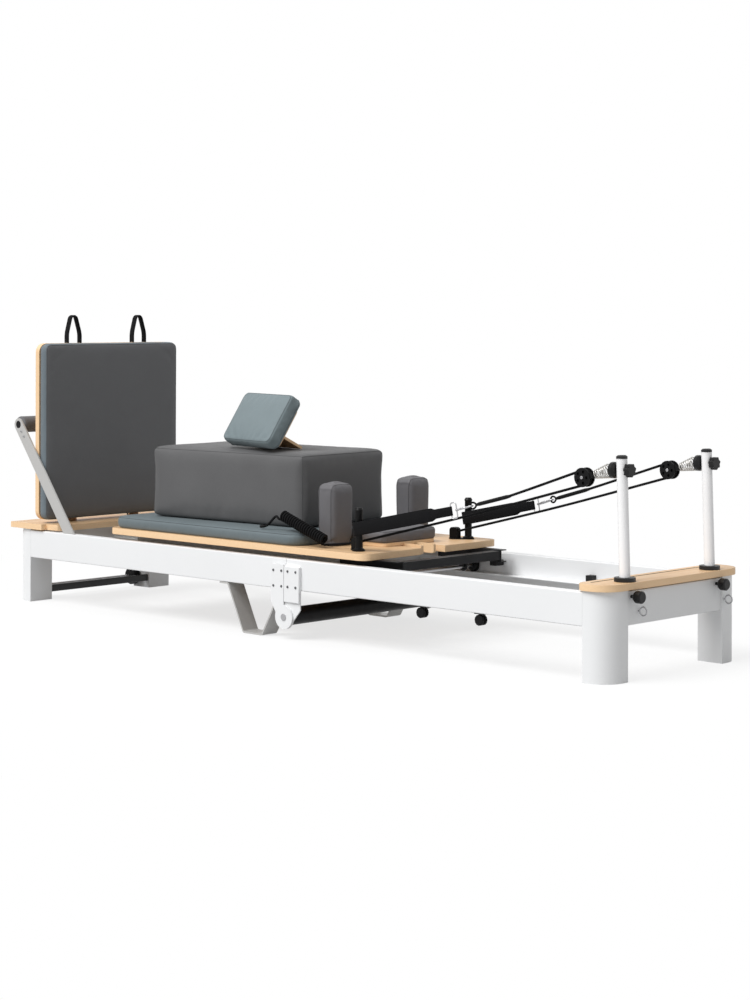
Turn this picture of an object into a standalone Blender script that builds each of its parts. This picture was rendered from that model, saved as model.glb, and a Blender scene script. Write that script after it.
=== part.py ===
"""Folding pilates reformer with its jump board, foot bar, sliding carriage and pulley risers.

Bench coordinates: X runs from the foot end (0) to the pulley end (LENGTH), Y from the near
rail's outer face (0) to the far one's (WIDTH), Z up from the floor. One root empty moves the
bench origin to the middle of the overall box. All sizes are in metres.
"""
from math import atan2, cos, hypot, pi, radians, sin, tan

import bmesh
import bpy
from mathutils import Matrix, Vector

# Driving dimensions of the frame
LENGTH = 2.36
WIDTH = 0.58
CLEARANCE = 0.0003
RAIL_TOP = 0.226
RAIL_HEIGHT = 0.086
RAIL_THICK = 0.030
RAIL_WALL = 0.003
RAIL_EDGE = 0.003
RAIL_BORE_EDGE = 0.001
RAIL_BOTTOM = RAIL_TOP - RAIL_HEIGHT
TRACK_TOP = 0.165
TRACK_WIDTH = 0.024
TRACK_THICK = 0.003
TRACK_DROP = 0.020
LEG_LONG = 0.078
LEG_WIDE = 0.086
LEG_RADIUS = 0.060
LEG_WALL = 0.003
LEG_FLOOR = 0.004
END_RECESS = 0.0057
FOOT_CROSS_THICK = 0.030
PULLEY_CROSS_THICK = 0.039
DRAIN_RADIUS = 0.004

# Plywood platforms over the two ends
PLY_THICK = 0.0177
PLATFORM_BOTTOM = 0.230
PLATFORM_TOP = PLATFORM_BOTTOM + PLY_THICK
PLATFORM_LAP = 0.0065
FOOT_PLATFORM_LAP = 0.017
FOOT_PLATFORM_END = 0.210
PLATFORM_RADIUS = 0.060
PLATFORM_SMALL_RADIUS = 0.004
PULLEY_PLATFORM_START = LENGTH - 0.098

# Fold hinge and the bent mid legs
FOLD_X = 1.230
FOLD_Z = 0.063
FOLD_GAP = 0.001
LEAF_THICK = 0.010
LEAF_TOP = 0.210
LEAF_SHOULDER = 0.106
LEAF_CORNER = 0.004
LEAF_STEP = 0.020
FOOT_LEAF_LENGTH = 0.051
PULLEY_LEAF_LENGTH = 0.060
LOBE_RADIUS = 0.034
LOBE_LAYER = 0.0047
HINGE_TUBE_RADIUS = 0.025
HINGE_TUBE_WALL = 0.003
HINGE_PIN_RADIUS = 0.005
HINGE_HEAD_RADIUS = 0.010
HINGE_HEAD_THICK = 0.0032
HINGE_PLUG_LENGTH = 0.010
MID_LEG_WIDE = 0.058
MID_LEG_THICK = 0.005
MID_LEG_BEND = 0.012
MID_LEG_FOOT = (1.055, 1.131)
MID_LEG_KNEE = (1.172, 0.074)
MID_LEG_TOPS = (0.955, 0.990, 1.200, 1.216)

# Transport wheels and their bars at the foot end
TRANSPORT_X = 0.012
TRANSPORT_Z = 0.036
TRANSPORT_RADIUS = 0.0285
TRANSPORT_WHEEL_WIDE = 0.025
TRANSPORT_EDGE = 0.004
TRANSPORT_GAP = 0.003
TRANSPORT_AXLE_RADIUS = 0.006
KICK_BAR_X = 0.066
KICK_BAR_SIZE = (0.012, 0.022)
KICK_BAR_Z = 0.033
KICK_BAR_EDGE = 0.004

# Jump board
JUMP_BACK = 0.083
JUMP_PLY = 0.018
JUMP_PAD_THICK = 0.0417
JUMP_WIDTH = WIDTH - 0.028
JUMP_BOTTOM = 0.258
JUMP_TOP = 0.815
JUMP_CORNER = 0.028
JUMP_PAD_EDGE = 0.012
JUMP_POST_WIDE = 0.040
JUMP_POST_THICK = 0.010
JUMP_POST_TOP = 0.560
JUMP_POST_OFFSET = 0.130
LOOP_OFFSETS = (-0.132, 0.140)
LOOP_HALF_WIDTH = 0.026
LOOP_HEIGHT = 0.088
LOOP_WEBBING = (0.022, 0.0024)
LOOP_BEND = 0.012

# Foot bar
FOOT_BAR_PIVOT_X = 0.296
FOOT_BAR_PIVOT_Z = 0.180
FOOT_BAR_REACH = 0.474
FOOT_BAR_LEAN = 37.5
ARM_WIDE = 0.040
ARM_THICK = 0.006
ARM_INSET = 0.005
ARM_PIN_RADIUS = 0.006
GRIP_RADIUS = 0.026
GRIP_EDGE = 0.006
GRIP_TUBE_RADIUS = 0.016
GRIP_TUBE_WALL = 0.002
ARM_SLOT = (0.168, 0.292)

# Carriage
CARRIAGE_START = 0.450
CARRIAGE_END = 1.525
CARRIAGE_INSET = 0.006
CARRIAGE_BOTTOM = 0.241
CARRIAGE_PLY = 0.019
CARRIAGE_TOP = CARRIAGE_BOTTOM + CARRIAGE_PLY
CARRIAGE_RADIUS = 0.030
CARRIAGE_TRAVEL = 0.40
NOTCH_WIDE = 0.100
NOTCH_START = 1.390
PAD_END = 1.255
PAD_THICK = 0.040
PAD_INSET = 0.010
PAD_CORNER = 0.055
PAD_CROWN = 0.004
PAD_EDGE = 0.010
PAD_TUCK = 0.003
MIN_CORNER = 0.002
BEAM_BOTTOM = 0.205
BEAM_Y = 0.060
BEAM_WIDE = 0.025
BEAM_WALL = 0.003
BEAM_START = 0.497
BEAM_END = 1.600
CROSSBAR_SIZE = (0.030, 0.025)
CROSSBAR_PLACES = (0.515, 1.020, 1.583)
WHEEL_RADIUS = 0.0175
WHEEL_WIDE = 0.016
WHEEL_EDGE = 0.002
WHEEL_GAP = 0.0045
WHEEL_AXLE_RADIUS = 0.005
WHEEL_PLACES = (0.560, 1.460)
HANGER_SIZE = (0.050, 0.004)
HANGER_RIM = 0.013
STOP_SIZE = (0.022, 0.020, 0.024)
STOP_GAP = 0.001
GUIDE_X = 1.560
GUIDE_RADIUS = 0.012
GUIDE_HEIGHT = 0.015
GUIDE_GAP = 0.001

# Springs between the foot end and the carriage
SPRING_RADIUS = 0.011
SPRING_Z = 0.1855
SPRING_OFFSET = 0.080
SPRING_PLATE = (0.004, 0.300)

# Shoulder rests, headrest and rope posts
REST_X = 1.265
REST_Y = 0.085
REST_SIZE = (0.065, 0.087, 0.178)
REST_EDGE = 0.020
HEADREST_START = 1.278
HEADREST_END = 1.442
HEADREST_WIDE = 0.230
HEADREST_PLY = 0.010
HEADREST_PAD = 0.041
HEADREST_CORNER = 0.020
HEADREST_EDGE = 0.012
HEADREST_BOARD_INSET = 0.004
HEADREST_BOARD_CORNER = 0.012
HEADREST_RIB = (0.105, 0.010, 0.022)
HEADREST_RIB_OFFSET = 0.026
HEADREST_RIB_START = NOTCH_START + 0.012
PEG_X = 1.455
PEG_Y = 0.060
PEG_RADIUS = 0.0105
PEG_TOP = 0.380
CLEAT_X = 1.425
CLEAT_Y = 0.084
CLEAT_SIZE = (0.030, 0.016, 0.034)
CLEAT_CORNERS = (0.001, 0.001, 0.010, 0.010)
POST_PLATE = 0.003

# Sitting box and pillow
BOX_CORNER = (0.574, 0.074)
BOX_SIZE = (0.610, 0.367, 0.2145)
BOX_TURN = 3.5
BOX_EDGE = 0.022
PILLOW_PLACE = (1.066, 0.124)
PILLOW_SIZE = (0.250, 0.160, 0.050)
PILLOW_TURN = -11.0
PILLOW_TILT = 58.0
PILLOW_CORNER = 0.026
PILLOW_EDGE = 0.014
PILLOW_PLY = 0.010
PILLOW_PLY_INSET = 0.016
PROP_HINGE = 0.054
PROP_THICK = 0.008
PROP_WIDE = 0.190
PROP_ANGLE = 28.0

# Risers, knobs and pulleys
RISER_X = LENGTH - 0.026
RISER_Y = 0.1065
RISER_RADIUS = 0.014
RISER_WALL = 0.002
RISER_PLAY = 0.0008
RISER_LEAN = 2.0
RISER_FOOT = 0.190
RISER_TOP = 0.556
COLLAR_RADIUS = 0.0275
COLLAR_HEIGHT = 0.010
CAP_HEIGHT = 0.010
KNOB_Z = 0.526
KNOB_RADIUS = 0.0175
KNOB_THICK = 0.016
KNOB_LOBES = 7
KNOB_SCALLOP = 0.004
KNOB_STEM_RADIUS = 0.004
KNOB_GAP = 0.0015
CLAMP_Z = 0.212
CLAMP_RADIUS = 0.016
CLAMP_THICK = 0.024
CLAMP_EDGES = (0.006, 0.003)
CLAMP_END = LENGTH + 0.030
PULLEY_X = RISER_X - 0.129
PULLEY_Z = 0.502
CHEEK_RADIUS = 0.025
CHEEK_THICK = 0.003
CHEEK_HOLES = 5
CHEEK_HOLE_RADIUS = 0.0045
CHEEK_HOLE_CIRCLE = 0.0150
SHEAVE_HALF = 0.0075
SHEAVE_RADIUS = 0.0205
SHEAVE_ROOT = 0.0150
SHEAVE_BORE = 0.0043
SHEAVE_GAP = 0.001
GROOVE_PLAY = 0.0006
PULLEY_AXLE_RADIUS = 0.004
YOKE_DEPTH = 0.010
YOKE_HEIGHT = 0.016
YOKE_GAP = 0.0027
BOOT_RADIUS = 0.021
BOOT_LENGTH = 0.016
CONE_SPRING_WIRE = 0.0015
CONE_SPRING_ENDS = (0.0185, 0.0095)
CONE_SPRING_CURLS = 6

# Ropes, straps and their metalwork
ROPE_RADIUS = 0.0035
SPLICE_SWELL = 1.45
ROPE_START_Z = 0.284
STRAP_THICK = 0.0025
STRAP_HEIGHT = 0.036
STRAP_Z = 0.322
RING_WIRE = 0.0018
RING_LENGTH = 0.020
STRAP_PLAY = 0.0048
CLIP_WIRE = 0.0020
CLIP_WIDE = 0.020
EYE_RADIUS = 0.0085
# Rope ends as share of the way from strap peg to pulley, distance in from the side, and height
ROPE_ENDS = {
    "near": {
        "ring": (0.4400, 0.070, 0.391),
        "eye": (0.5293, 0.080, 0.409),
        "splice": (0.6733, 0.091, 0.438),
    },
    "far": {
        "ring": (0.3427, 0.075, 0.375),
        "eye": (0.4413, 0.080, 0.396),
        "splice": (0.6120, 0.093, 0.431),
    },
}
ROPE_SAG = 0.004
SPLICE_NECK = 0.8
EYE_THIN = 0.7
HANK_START = Vector((1.170, 0.045, 0.341))
HANK_END = Vector((1.338, 0.045, 0.2825))
HANK_RADIUS = 0.0128
HANK_CURLS = 13
HANK_ROPE = 0.0032
CURL_POINTS = 8
CURLS_APART = 0.03
HANK_TAIL = (Vector((-0.085, -0.005, 0.0005)), Vector((-0.060, -0.003, 0.006)))
HANK_NECK = ((0.022, 0.004), (0.006, 0.006))
HANK_EXIT = (0.004, 0.008)
HANK_LEAD = (Vector((0.020, 0.004, 0.003)), Vector((0.007, 0.0, 0.0)))
HANK_DROP = 0.006

# Casters under the pulley end
CASTER_PLACES = (1.732, 1.937)
CASTER_INSET = 0.005
CASTER_RADIUS = 0.0145
CASTER_EDGE = 0.0015
CASTER_Z = 0.1215
CASTER_WHEEL_WIDE = 0.008
CASTER_TRACK = 0.011
CASTER_AXLE_RADIUS = 0.003
CASTER_FORK = 0.006
CASTER_FORK_THICK = 0.004
CASTER_PLATE = (0.032, 0.020, 0.003)

# Eye rings on the pulley end's cross rail and far leg, each at a distance across and a height
EYE_PLACES = ((0.136, 0.173), (WIDTH - 0.079, 0.170))
EYE_RING_RADIUS = 0.011
EYE_RING_WIRE = 0.0022

# Finishes as colour, roughness and metallic
FINISHES = {
    "white_paint": ((0.86, 0.87, 0.88), 0.35, 0.0),
    "silver_paint": ((0.55, 0.56, 0.58), 0.38, 0.6),
    "dark_paint": ((0.10, 0.11, 0.12), 0.45, 0.2),
    "plywood": ((0.78, 0.58, 0.36), 0.50, 0.0),
    "grey_vinyl": ((0.13, 0.135, 0.14), 0.55, 0.0),
    "pale_vinyl": ((0.30, 0.36, 0.39), 0.50, 0.0),
    "black_plastic": ((0.02, 0.02, 0.022), 0.40, 0.0),
    "black_webbing": ((0.015, 0.015, 0.017), 0.85, 0.0),
    "foam": ((0.07, 0.075, 0.08), 0.80, 0.0),
    "steel": ((0.66, 0.66, 0.67), 0.25, 1.0),
    "rubber": ((0.03, 0.03, 0.03), 0.75, 0.0),
}

MIDDLE = WIDTH / 2
SMOOTH_ANGLE = radians(38)
bodies = {}
origins = {}


# Scene set-up

def clear_scene():
    for item in list(bpy.data.objects):
        bpy.data.objects.remove(item, do_unlink=True)


def finish_material(name, finish):
    colour, roughness, metallic = FINISHES[finish]
    material = bpy.data.materials.new(name)
    material.use_nodes = True
    shader = material.node_tree.nodes["Principled BSDF"]
    shader.inputs["Base Color"].default_value = (*colour, 1.0)
    shader.inputs["Roughness"].default_value = roughness
    shader.inputs["Metallic"].default_value = metallic
    material.diffuse_color = (*colour, 1.0)
    return material


def add_body(name, at, parent=None, turn=(0.0, 0.0, 0.0)):
    """Empty that carries the pieces moving together; at is in bench coordinates."""
    empty = bpy.data.objects.new(name, None)
    bpy.context.scene.collection.objects.link(empty)
    base = Vector((0, 0, 0))
    if parent:
        empty.parent = bodies[parent][0]
        base = bodies[parent][1]
    empty.location = Vector(at) - base
    empty.rotation_euler = turn
    bodies[name] = (empty, Vector(at))
    return empty


def link_mesh(name, mesh, finish, body, origin):
    obj = bpy.data.objects.new(name, mesh)
    bpy.context.scene.collection.objects.link(obj)
    obj.parent = bodies[body][0]
    obj.location = Vector(origin) - bodies[body][1]
    origins[name] = Vector(origin)
    if finish:
        mesh.materials.append(finish_material(name, finish))
    return obj


def make(name, bm, finish, body, origin=None, smooth=False):
    """Turn bench geometry into an object of a body, with its origin at the given point."""
    origin = bodies[body][1] if origin is None else Vector(origin)
    bmesh.ops.recalc_face_normals(bm, faces=bm.faces)
    bm.transform(Matrix.Translation(-origin))
    mesh = bpy.data.meshes.new(name)
    bm.to_mesh(mesh)
    bm.free()
    if smooth:
        mesh.shade_smooth()
        mesh.set_sharp_from_angle(angle=SMOOTH_ANGLE)
    return link_mesh(name, mesh, finish, body, origin)


def make_local(name, bm, finish, body, smooth=False):
    """Turn geometry given in a turned body's own axes into an object of that body."""
    bmesh.ops.recalc_face_normals(bm, faces=bm.faces)
    mesh = bpy.data.meshes.new(name)
    bm.to_mesh(mesh)
    bm.free()
    if smooth:
        mesh.shade_smooth()
        mesh.set_sharp_from_angle(angle=SMOOTH_ANGLE)
    return link_mesh(name, mesh, finish, body, bodies[body][1])


def apply_tool(obj, bm, name, operation):
    """Boolean of a hidden tool solid, built in bench coordinates, with an object."""
    bmesh.ops.recalc_face_normals(bm, faces=bm.faces)
    bm.transform(Matrix.Translation(-origins[obj.name]))
    mesh = bpy.data.meshes.new(name)
    bm.to_mesh(mesh)
    bm.free()
    tool = bpy.data.objects.new(name, mesh)
    bpy.context.scene.collection.objects.link(tool)
    tool.parent = obj
    tool.hide_render = True
    tool.display_type = "WIRE"
    modifier = obj.modifiers.new(name, "BOOLEAN")
    modifier.operation = operation
    modifier.solver = "EXACT"
    modifier.object = tool


def cut(obj, bm, name):
    apply_tool(obj, bm, name, "DIFFERENCE")


def fuse(obj, bm, name):
    apply_tool(obj, bm, name, "UNION")


# Outlines

def arc(centre, radius, start, end, steps):
    """Points on an arc with both its ends; the angles are in degrees."""
    angles = [radians(start + (end - start) * step / steps) for step in range(steps + 1)]
    return [(centre[0] + radius * cos(angle), centre[1] + radius * sin(angle)) for angle in angles]


def circle(centre, radius, sides):
    return arc(centre, radius, 0, 360, sides)[:-1]


def rectangle(a0, a1, b0, b1):
    return [(a0, b0), (a1, b0), (a1, b1), (a0, b1)]


def rounded_rectangle(a0, a1, b0, b1, radii, steps=4):
    """Rectangle with one corner radius, or four in the order of rectangle()."""
    if not isinstance(radii, tuple):
        radii = (radii,) * 4
    signs = ((1, 1), (-1, 1), (-1, -1), (1, -1))
    points = []
    for corner, sign, radius, start in zip(rectangle(a0, a1, b0, b1), signs, radii, (180, 270, 0, 90)):
        centre = (corner[0] + sign[0] * radius, corner[1] + sign[1] * radius)
        points += arc(centre, radius, start, start + 90, steps)
    return points


def belt(centre_0, radius_0, centre_1, radius_1, steps):
    """Outline round two circles, as a belt over two wheels."""
    run = (centre_1[0] - centre_0[0], centre_1[1] - centre_0[1])
    length = hypot(*run)
    heading = atan2(run[1], run[0]) * 180 / pi
    opening = 90 - atan2(radius_0 - radius_1, (length**2 - (radius_0 - radius_1)**2) ** 0.5) * 180 / pi
    near_end = arc(centre_0, radius_0, heading + opening, heading + 360 - opening, steps)
    return near_end + arc(centre_1, radius_1, heading - opening, heading + opening, steps)


def fillet_path(points, radius, steps=3):
    """Open path with its inner corners rounded by quadratic curves."""
    path = [Vector(points[0])]
    for before, corner, after in zip(points, points[1:], points[2:]):
        corner = Vector(corner)
        entry = corner + (Vector(before) - corner).normalized() * radius
        leave = corner + (Vector(after) - corner).normalized() * radius
        for step in range(steps + 1):
            share = step / steps
            path.append(entry * (1 - share) ** 2 + corner * 2 * share * (1 - share) + leave * share**2)
    path.append(Vector(points[-1]))
    return path


def strip_outline(path, thick):
    """Outline of a flat strip that follows an open path at its middle."""
    left = []
    right = []
    for index, point in enumerate(path):
        before = (point - path[max(index - 1, 0)]).normalized()
        after = (path[min(index + 1, len(path) - 1)] - point).normalized()
        heading = (before + after).normalized()
        straight = after if index == 0 else before
        reach = thick / 2 / heading.dot(straight)
        side = Vector((-heading.y, heading.x)) * reach
        left.append(tuple(point + side))
        right.append(tuple(point - side))
    return left + right[::-1]


def mirror_y(outline):
    return [(WIDTH - a, b) for a, b in outline]


# Solids added to a bmesh

def lift(axis, a, b, height):
    return {"X": (height, a, b), "Y": (a, height, b), "Z": (a, b, height)}[axis]


def close_ring(verts):
    return list(zip(verts, verts[1:] + verts[:1]))


def add_prism(bm, axis, outline, start, end, holes=(), place=None):
    """Solid of an outline, with through holes, drawn out along an axis."""
    place = place or Matrix.Identity(4)
    loops = [[Vector(lift(axis, a, b, start)) for a, b in loop] for loop in (outline, *holes)]
    vert_loops = [[bm.verts.new(place @ point) for point in loop] for loop in loops]
    if holes:
        edges = [bm.edges.new(pair) for verts in vert_loops for pair in close_ring(verts)]
        filled = bmesh.ops.triangle_fill(bm, use_beauty=True, edges=edges)["geom"]
        faces = [item for item in filled if isinstance(item, bmesh.types.BMFace)]
    else:
        faces = [bm.faces.new(vert_loops[0])]
    raised = bmesh.ops.extrude_face_region(bm, geom=faces)["geom"]
    shift = place.to_3x3() @ (Vector(lift(axis, 0, 0, end)) - Vector(lift(axis, 0, 0, start)))
    lifted = [item for item in raised if isinstance(item, bmesh.types.BMVert)]
    bmesh.ops.translate(bm, verts=lifted, vec=shift)


def add_box(bm, low, high, place=None):
    add_prism(bm, "Z", rectangle(low[0], high[0], low[1], high[1]), low[2], high[2], place=place)


def add_pipe(bm, axis, outer, inner, start, end, place=None):
    """Open-ended tube between two outlines with as many points each."""
    place = place or Matrix.Identity(4)
    rings = []
    for outline, height in ((outer, start), (outer, end), (inner, end), (inner, start)):
        rings.append([bm.verts.new(place @ Vector(lift(axis, a, b, height))) for a, b in outline])
    for ring, following in zip(rings, rings[1:] + rings[:1]):
        for (a, b), (c, d) in zip(close_ring(ring), close_ring(following)):
            bm.faces.new((a, b, d, c))


def add_cup(bm, outer, inner, bottom, floor, top):
    """Upright tube with a closed bottom."""
    rings = []
    for outline, height in ((outer, bottom), (outer, top), (inner, top), (inner, floor)):
        rings.append([bm.verts.new((a, b, height)) for a, b in outline])
    for ring, following in zip(rings, rings[1:]):
        for (a, b), (c, d) in zip(close_ring(ring), close_ring(following)):
            bm.faces.new((a, b, d, c))
    bm.faces.new(rings[0])
    bm.faces.new(rings[-1])


def along(start, direction):
    """Matrix whose local Z runs from a start point in a direction."""
    turn = Vector((0, 0, 1)).rotation_difference(Vector(direction)).to_matrix().to_4x4()
    return Matrix.Translation(Vector(start)) @ turn


def add_turned(bm, profile, place, sides=16, bored=False):
    """Solid turned about the local Z of a matrix from points of radius and height."""
    rings = []
    for radius, height in profile:
        points = [place @ Vector((a, b, height)) for a, b in circle((0, 0), radius, sides)]
        rings.append([bm.verts.new(point) for point in points])
    pairs = list(zip(rings, rings[1:]))
    if bored:
        pairs.append((rings[-1], rings[0]))
    for ring, following in pairs:
        for (a, b), (c, d) in zip(close_ring(ring), close_ring(following)):
            bm.faces.new((a, b, d, c))
    if not bored:
        bm.faces.new(rings[0])
        bm.faces.new(rings[-1])


def add_rod(bm, start, end, radius, sides=14):
    run = Vector(end) - Vector(start)
    add_turned(bm, [(radius, 0), (radius, run.length)], along(start, run), sides)


def add_ring(bm, start, end, radius, bore, sides=20):
    run = Vector(end) - Vector(start)
    profile = [(bore, 0), (radius, 0), (radius, run.length), (bore, run.length)]
    add_turned(bm, profile, along(start, run), sides, bored=True)


def add_cushion(bm, size, place, corner, edge, crown, tuck, base_edge=0.0, steps=4):
    """Crowned pad: drawn in at its base, full at its sides, rounded over to a domed top."""
    half_x = size[0] / 2
    half_y = size[1] / 2
    top = size[2] - crown
    rings = []
    if base_edge:
        for angle in (90, 45, 0):
            share = radians(angle)
            rings.append((base_edge * (1 - cos(share)), base_edge * (1 - sin(share))))
    else:
        rings.append((tuck, 0.0))
        rings.append((tuck * 0.3, top * 0.15))
        rings.append((0.0, top * 0.38))
    for angle in (0, 30, 60, 90):
        share = radians(angle)
        rings.append((edge * (1 - cos(share)), top - edge + edge * sin(share)))
    layers = []
    for inset, height in rings:
        radius = max(corner - inset, MIN_CORNER)
        reach_x = half_x - inset
        reach_y = half_y - inset
        outline = rounded_rectangle(-reach_x, reach_x, -reach_y, reach_y, radius, steps)
        layers.append((outline, height))
    rim = layers[-1][0]
    for share in (0.75, 0.30) if crown else ():
        layers.append(([(a * share, b * share) for a, b in rim], top + crown * (1 - share**2)))
    verts = []
    for outline, height in layers:
        verts.append([bm.verts.new(place @ Vector((a, b, height))) for a, b in outline])
    for ring, following in zip(verts, verts[1:]):
        for (a, b), (c, d) in zip(close_ring(ring), close_ring(following)):
            bm.faces.new((a, b, d, c))
    bm.faces.new(verts[0])
    bm.faces.new(verts[-1])


def make_tube(name, route, radius, finish, body, sides_setting):
    """Round tube along a route of (point, radius share) pairs."""
    origin = bodies[body][1]
    curve = bpy.data.curves.new(name, "CURVE")
    curve.dimensions = "3D"
    curve.fill_mode = "FULL"
    curve.bevel_depth = radius
    curve.bevel_resolution = sides_setting
    curve.use_fill_caps = True
    spline = curve.splines.new("POLY")
    spline.points.add(len(route) - 1)
    for point, (at, share) in zip(spline.points, route):
        point.co = (*(at - origin), 1.0)
        point.radius = share
    return link_mesh(name, curve, finish, body, origin)


def add_hoop(bm, points, normal, radius, sides):
    """Round wire along a closed flat loop of points."""
    rings = []
    for before, point, after in zip(points[-1:] + points[:-1], points, points[1:] + points[:1]):
        tangent = (after - before).normalized()
        side = tangent.cross(normal).normalized()
        ring = [point + (side * a + normal * b) for a, b in circle((0, 0), radius, sides)]
        rings.append([bm.verts.new(corner) for corner in ring])
    for ring, following in close_ring(rings):
        for (a, b), (c, d) in zip(close_ring(ring), close_ring(following)):
            bm.faces.new((a, b, d, c))


def smooth_route(points, spacing):
    """Even points on a smooth curve through the given ones."""
    ends = [points[0] * 2 - points[1], *points, points[-1] * 2 - points[-2]]
    fine = []
    for before, start, end, after in zip(ends, ends[1:], ends[2:], ends[3:]):
        for step in range(12):
            t = step / 12
            bend = (before * 2 - start * 5 + end * 4 - after) * t**2
            twist = (start * 3 - before - end * 3 + after) * t**3
            fine.append((start * 2 + (end - before) * t + bend + twist) / 2)
    fine.append(points[-1])
    lengths = [0.0]
    for start, end in zip(fine, fine[1:]):
        lengths.append(lengths[-1] + (end - start).length)
    count = max(round(lengths[-1] / spacing), 2)
    route = []
    index = 0
    for step in range(count + 1):
        target = lengths[-1] * step / count
        while index < len(fine) - 2 and lengths[index + 1] < target:
            index += 1
        share = (target - lengths[index]) / (lengths[index + 1] - lengths[index])
        route.append(fine[index].lerp(fine[index + 1], min(share, 1.0)))
    return route


def least_gap(points, radius, away):
    """Least clear distance between stretches of a tube that are some length apart along it."""
    lengths = [0.0]
    for start, end in zip(points, points[1:]):
        lengths.append(lengths[-1] + (end - start).length)
    gaps = []
    for index, point in enumerate(points):
        for later in range(index + 1, len(points)):
            if lengths[later] - lengths[index] > away:
                gaps.append((points[later] - point).length)
    return min(gaps) - 2 * radius


# Frame

def corner_outline(inset, at_pulley_end, far):
    """Plan of a corner leg: flat inside, one large round outside."""
    points = [(LEG_LONG - inset, inset)]
    points += arc((LEG_RADIUS, LEG_RADIUS), LEG_RADIUS - inset, 270, 180, 6)
    points += [(inset, LEG_WIDE - inset), (LEG_LONG - inset, LEG_WIDE - inset)]
    return [(LENGTH - a if at_pulley_end else a, WIDTH - b if far else b) for a, b in points]


def rail_section(start, end):
    """Outlines of a box rail and of its bore, between two faces."""
    wall = RAIL_WALL
    outer = rounded_rectangle(start, end, RAIL_BOTTOM, RAIL_TOP, RAIL_EDGE, 2)
    low = RAIL_BOTTOM + wall
    inner = rounded_rectangle(start + wall, end - wall, low, RAIL_TOP - wall, RAIL_BORE_EDGE, 2)
    return outer, inner


def make_end_frame(name, body, at_pulley_end, start, end):
    """Two corner legs with the box-section cross rail welded between them."""
    bm = bmesh.new()
    for far in (False, True):
        outer = corner_outline(0.0, at_pulley_end, far)
        inner = corner_outline(LEG_WALL, at_pulley_end, far)
        add_cup(bm, outer, inner, 0.0, LEG_FLOOR, PLATFORM_BOTTOM - CLEARANCE)
    frame = make(name, bm, "white_paint", body, smooth=True)
    outer, inner = rail_section(start, end)
    weld = LEG_WIDE - LEG_WALL / 2
    rail = bmesh.new()
    add_pipe(rail, "Y", outer, inner, weld, WIDTH - weld)
    fuse(frame, rail, name + "_cross_rail")
    return frame


def make_rail(name, body, start, end, track_start, track_end, far):
    """Box-section side rail with the angle track that the carriage wheels run on."""
    wall = RAIL_WALL
    outer, inner = rail_section(0, RAIL_THICK)
    weld = RAIL_THICK - wall / 2
    tip = RAIL_THICK + TRACK_WIDTH
    drop = TRACK_TOP - TRACK_DROP
    under = TRACK_TOP - TRACK_THICK
    track = [(weld, drop), (RAIL_THICK + TRACK_THICK, drop), (RAIL_THICK + TRACK_THICK, under)]
    track += [(tip, under), (tip, TRACK_TOP), (weld, TRACK_TOP)]
    if far:
        outer, inner, track = mirror_y(outer), mirror_y(inner), mirror_y(track)
    bm = bmesh.new()
    add_pipe(bm, "X", outer, inner, start, end)
    rail = make(name, bm, "white_paint", body)
    welded = bmesh.new()
    add_prism(welded, "X", track, track_start, track_end)
    fuse(rail, welded, name + "_track")
    return rail


def side_y(offset, far):
    """Distance from the near face, or from the far face."""
    return WIDTH - offset if far else offset


def make_foot_frame():
    """Foot legs and cross rail, with the kick bar welded in and holes for the wheel axle."""
    frame = make_end_frame("foot_end_frame", "foot_end", False, END_RECESS, END_RECESS + FOOT_CROSS_THICK)
    weld = LEG_WIDE - LEG_WALL / 2
    half_x = KICK_BAR_SIZE[0] / 2
    half_z = KICK_BAR_SIZE[1] / 2
    corners = (KICK_BAR_X - half_x, KICK_BAR_X + half_x, KICK_BAR_Z - half_z, KICK_BAR_Z + half_z)
    section = rounded_rectangle(*corners, KICK_BAR_EDGE, 2)
    bar = bmesh.new()
    add_prism(bar, "Y", section, weld, WIDTH - weld)
    fuse(frame, bar, "kick_bar")
    holes = bmesh.new()
    reach = LEG_WALL * 2
    for y in (LEG_WIDE, WIDTH - LEG_WIDE):
        start = (TRANSPORT_X, y - reach, TRANSPORT_Z)
        add_rod(holes, start, (TRANSPORT_X, y + reach, TRANSPORT_Z), TRANSPORT_AXLE_RADIUS + CLEARANCE, 16)
    middle_x = END_RECESS + FOOT_CROSS_THICK / 2
    low = (middle_x, MIDDLE, RAIL_BOTTOM - RAIL_WALL)
    add_rod(holes, low, (middle_x, MIDDLE, RAIL_BOTTOM + RAIL_WALL * 2), DRAIN_RADIUS, 12)
    cut(frame, holes, "foot_frame_holes")


def make_foot_rails():
    """Foot rails, each with a stud for the foot bar's arm and a slot for it to swing in."""
    start = LEG_LONG + CLEARANCE
    end = FOLD_X - FOLD_GAP / 2
    for name, far in (("foot_rail_near", False), ("foot_rail_far", True)):
        rail = make_rail(name, "foot_end", start, end, start, end, far)
        stud = bmesh.new()
        y0 = side_y(RAIL_WALL / 2, far)
        y1 = side_y(RAIL_THICK - RAIL_WALL / 2, far)
        pivot_x = FOOT_BAR_PIVOT_X
        pivot_z = FOOT_BAR_PIVOT_Z
        add_rod(stud, (pivot_x, y0, pivot_z), (pivot_x, y1, pivot_z), ARM_PIN_RADIUS)
        fuse(rail, stud, name + "_stud")
        slot = bmesh.new()
        play = ARM_THICK / 4
        y0, y1 = sorted((side_y(ARM_INSET - play, far), side_y(ARM_INSET + ARM_THICK + play, far)))
        depth = RAIL_WALL * 2
        add_box(slot, (ARM_SLOT[0], y0, RAIL_TOP - depth), (ARM_SLOT[1], y1, RAIL_TOP + depth))
        cut(rail, slot, name + "_slot")


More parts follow.
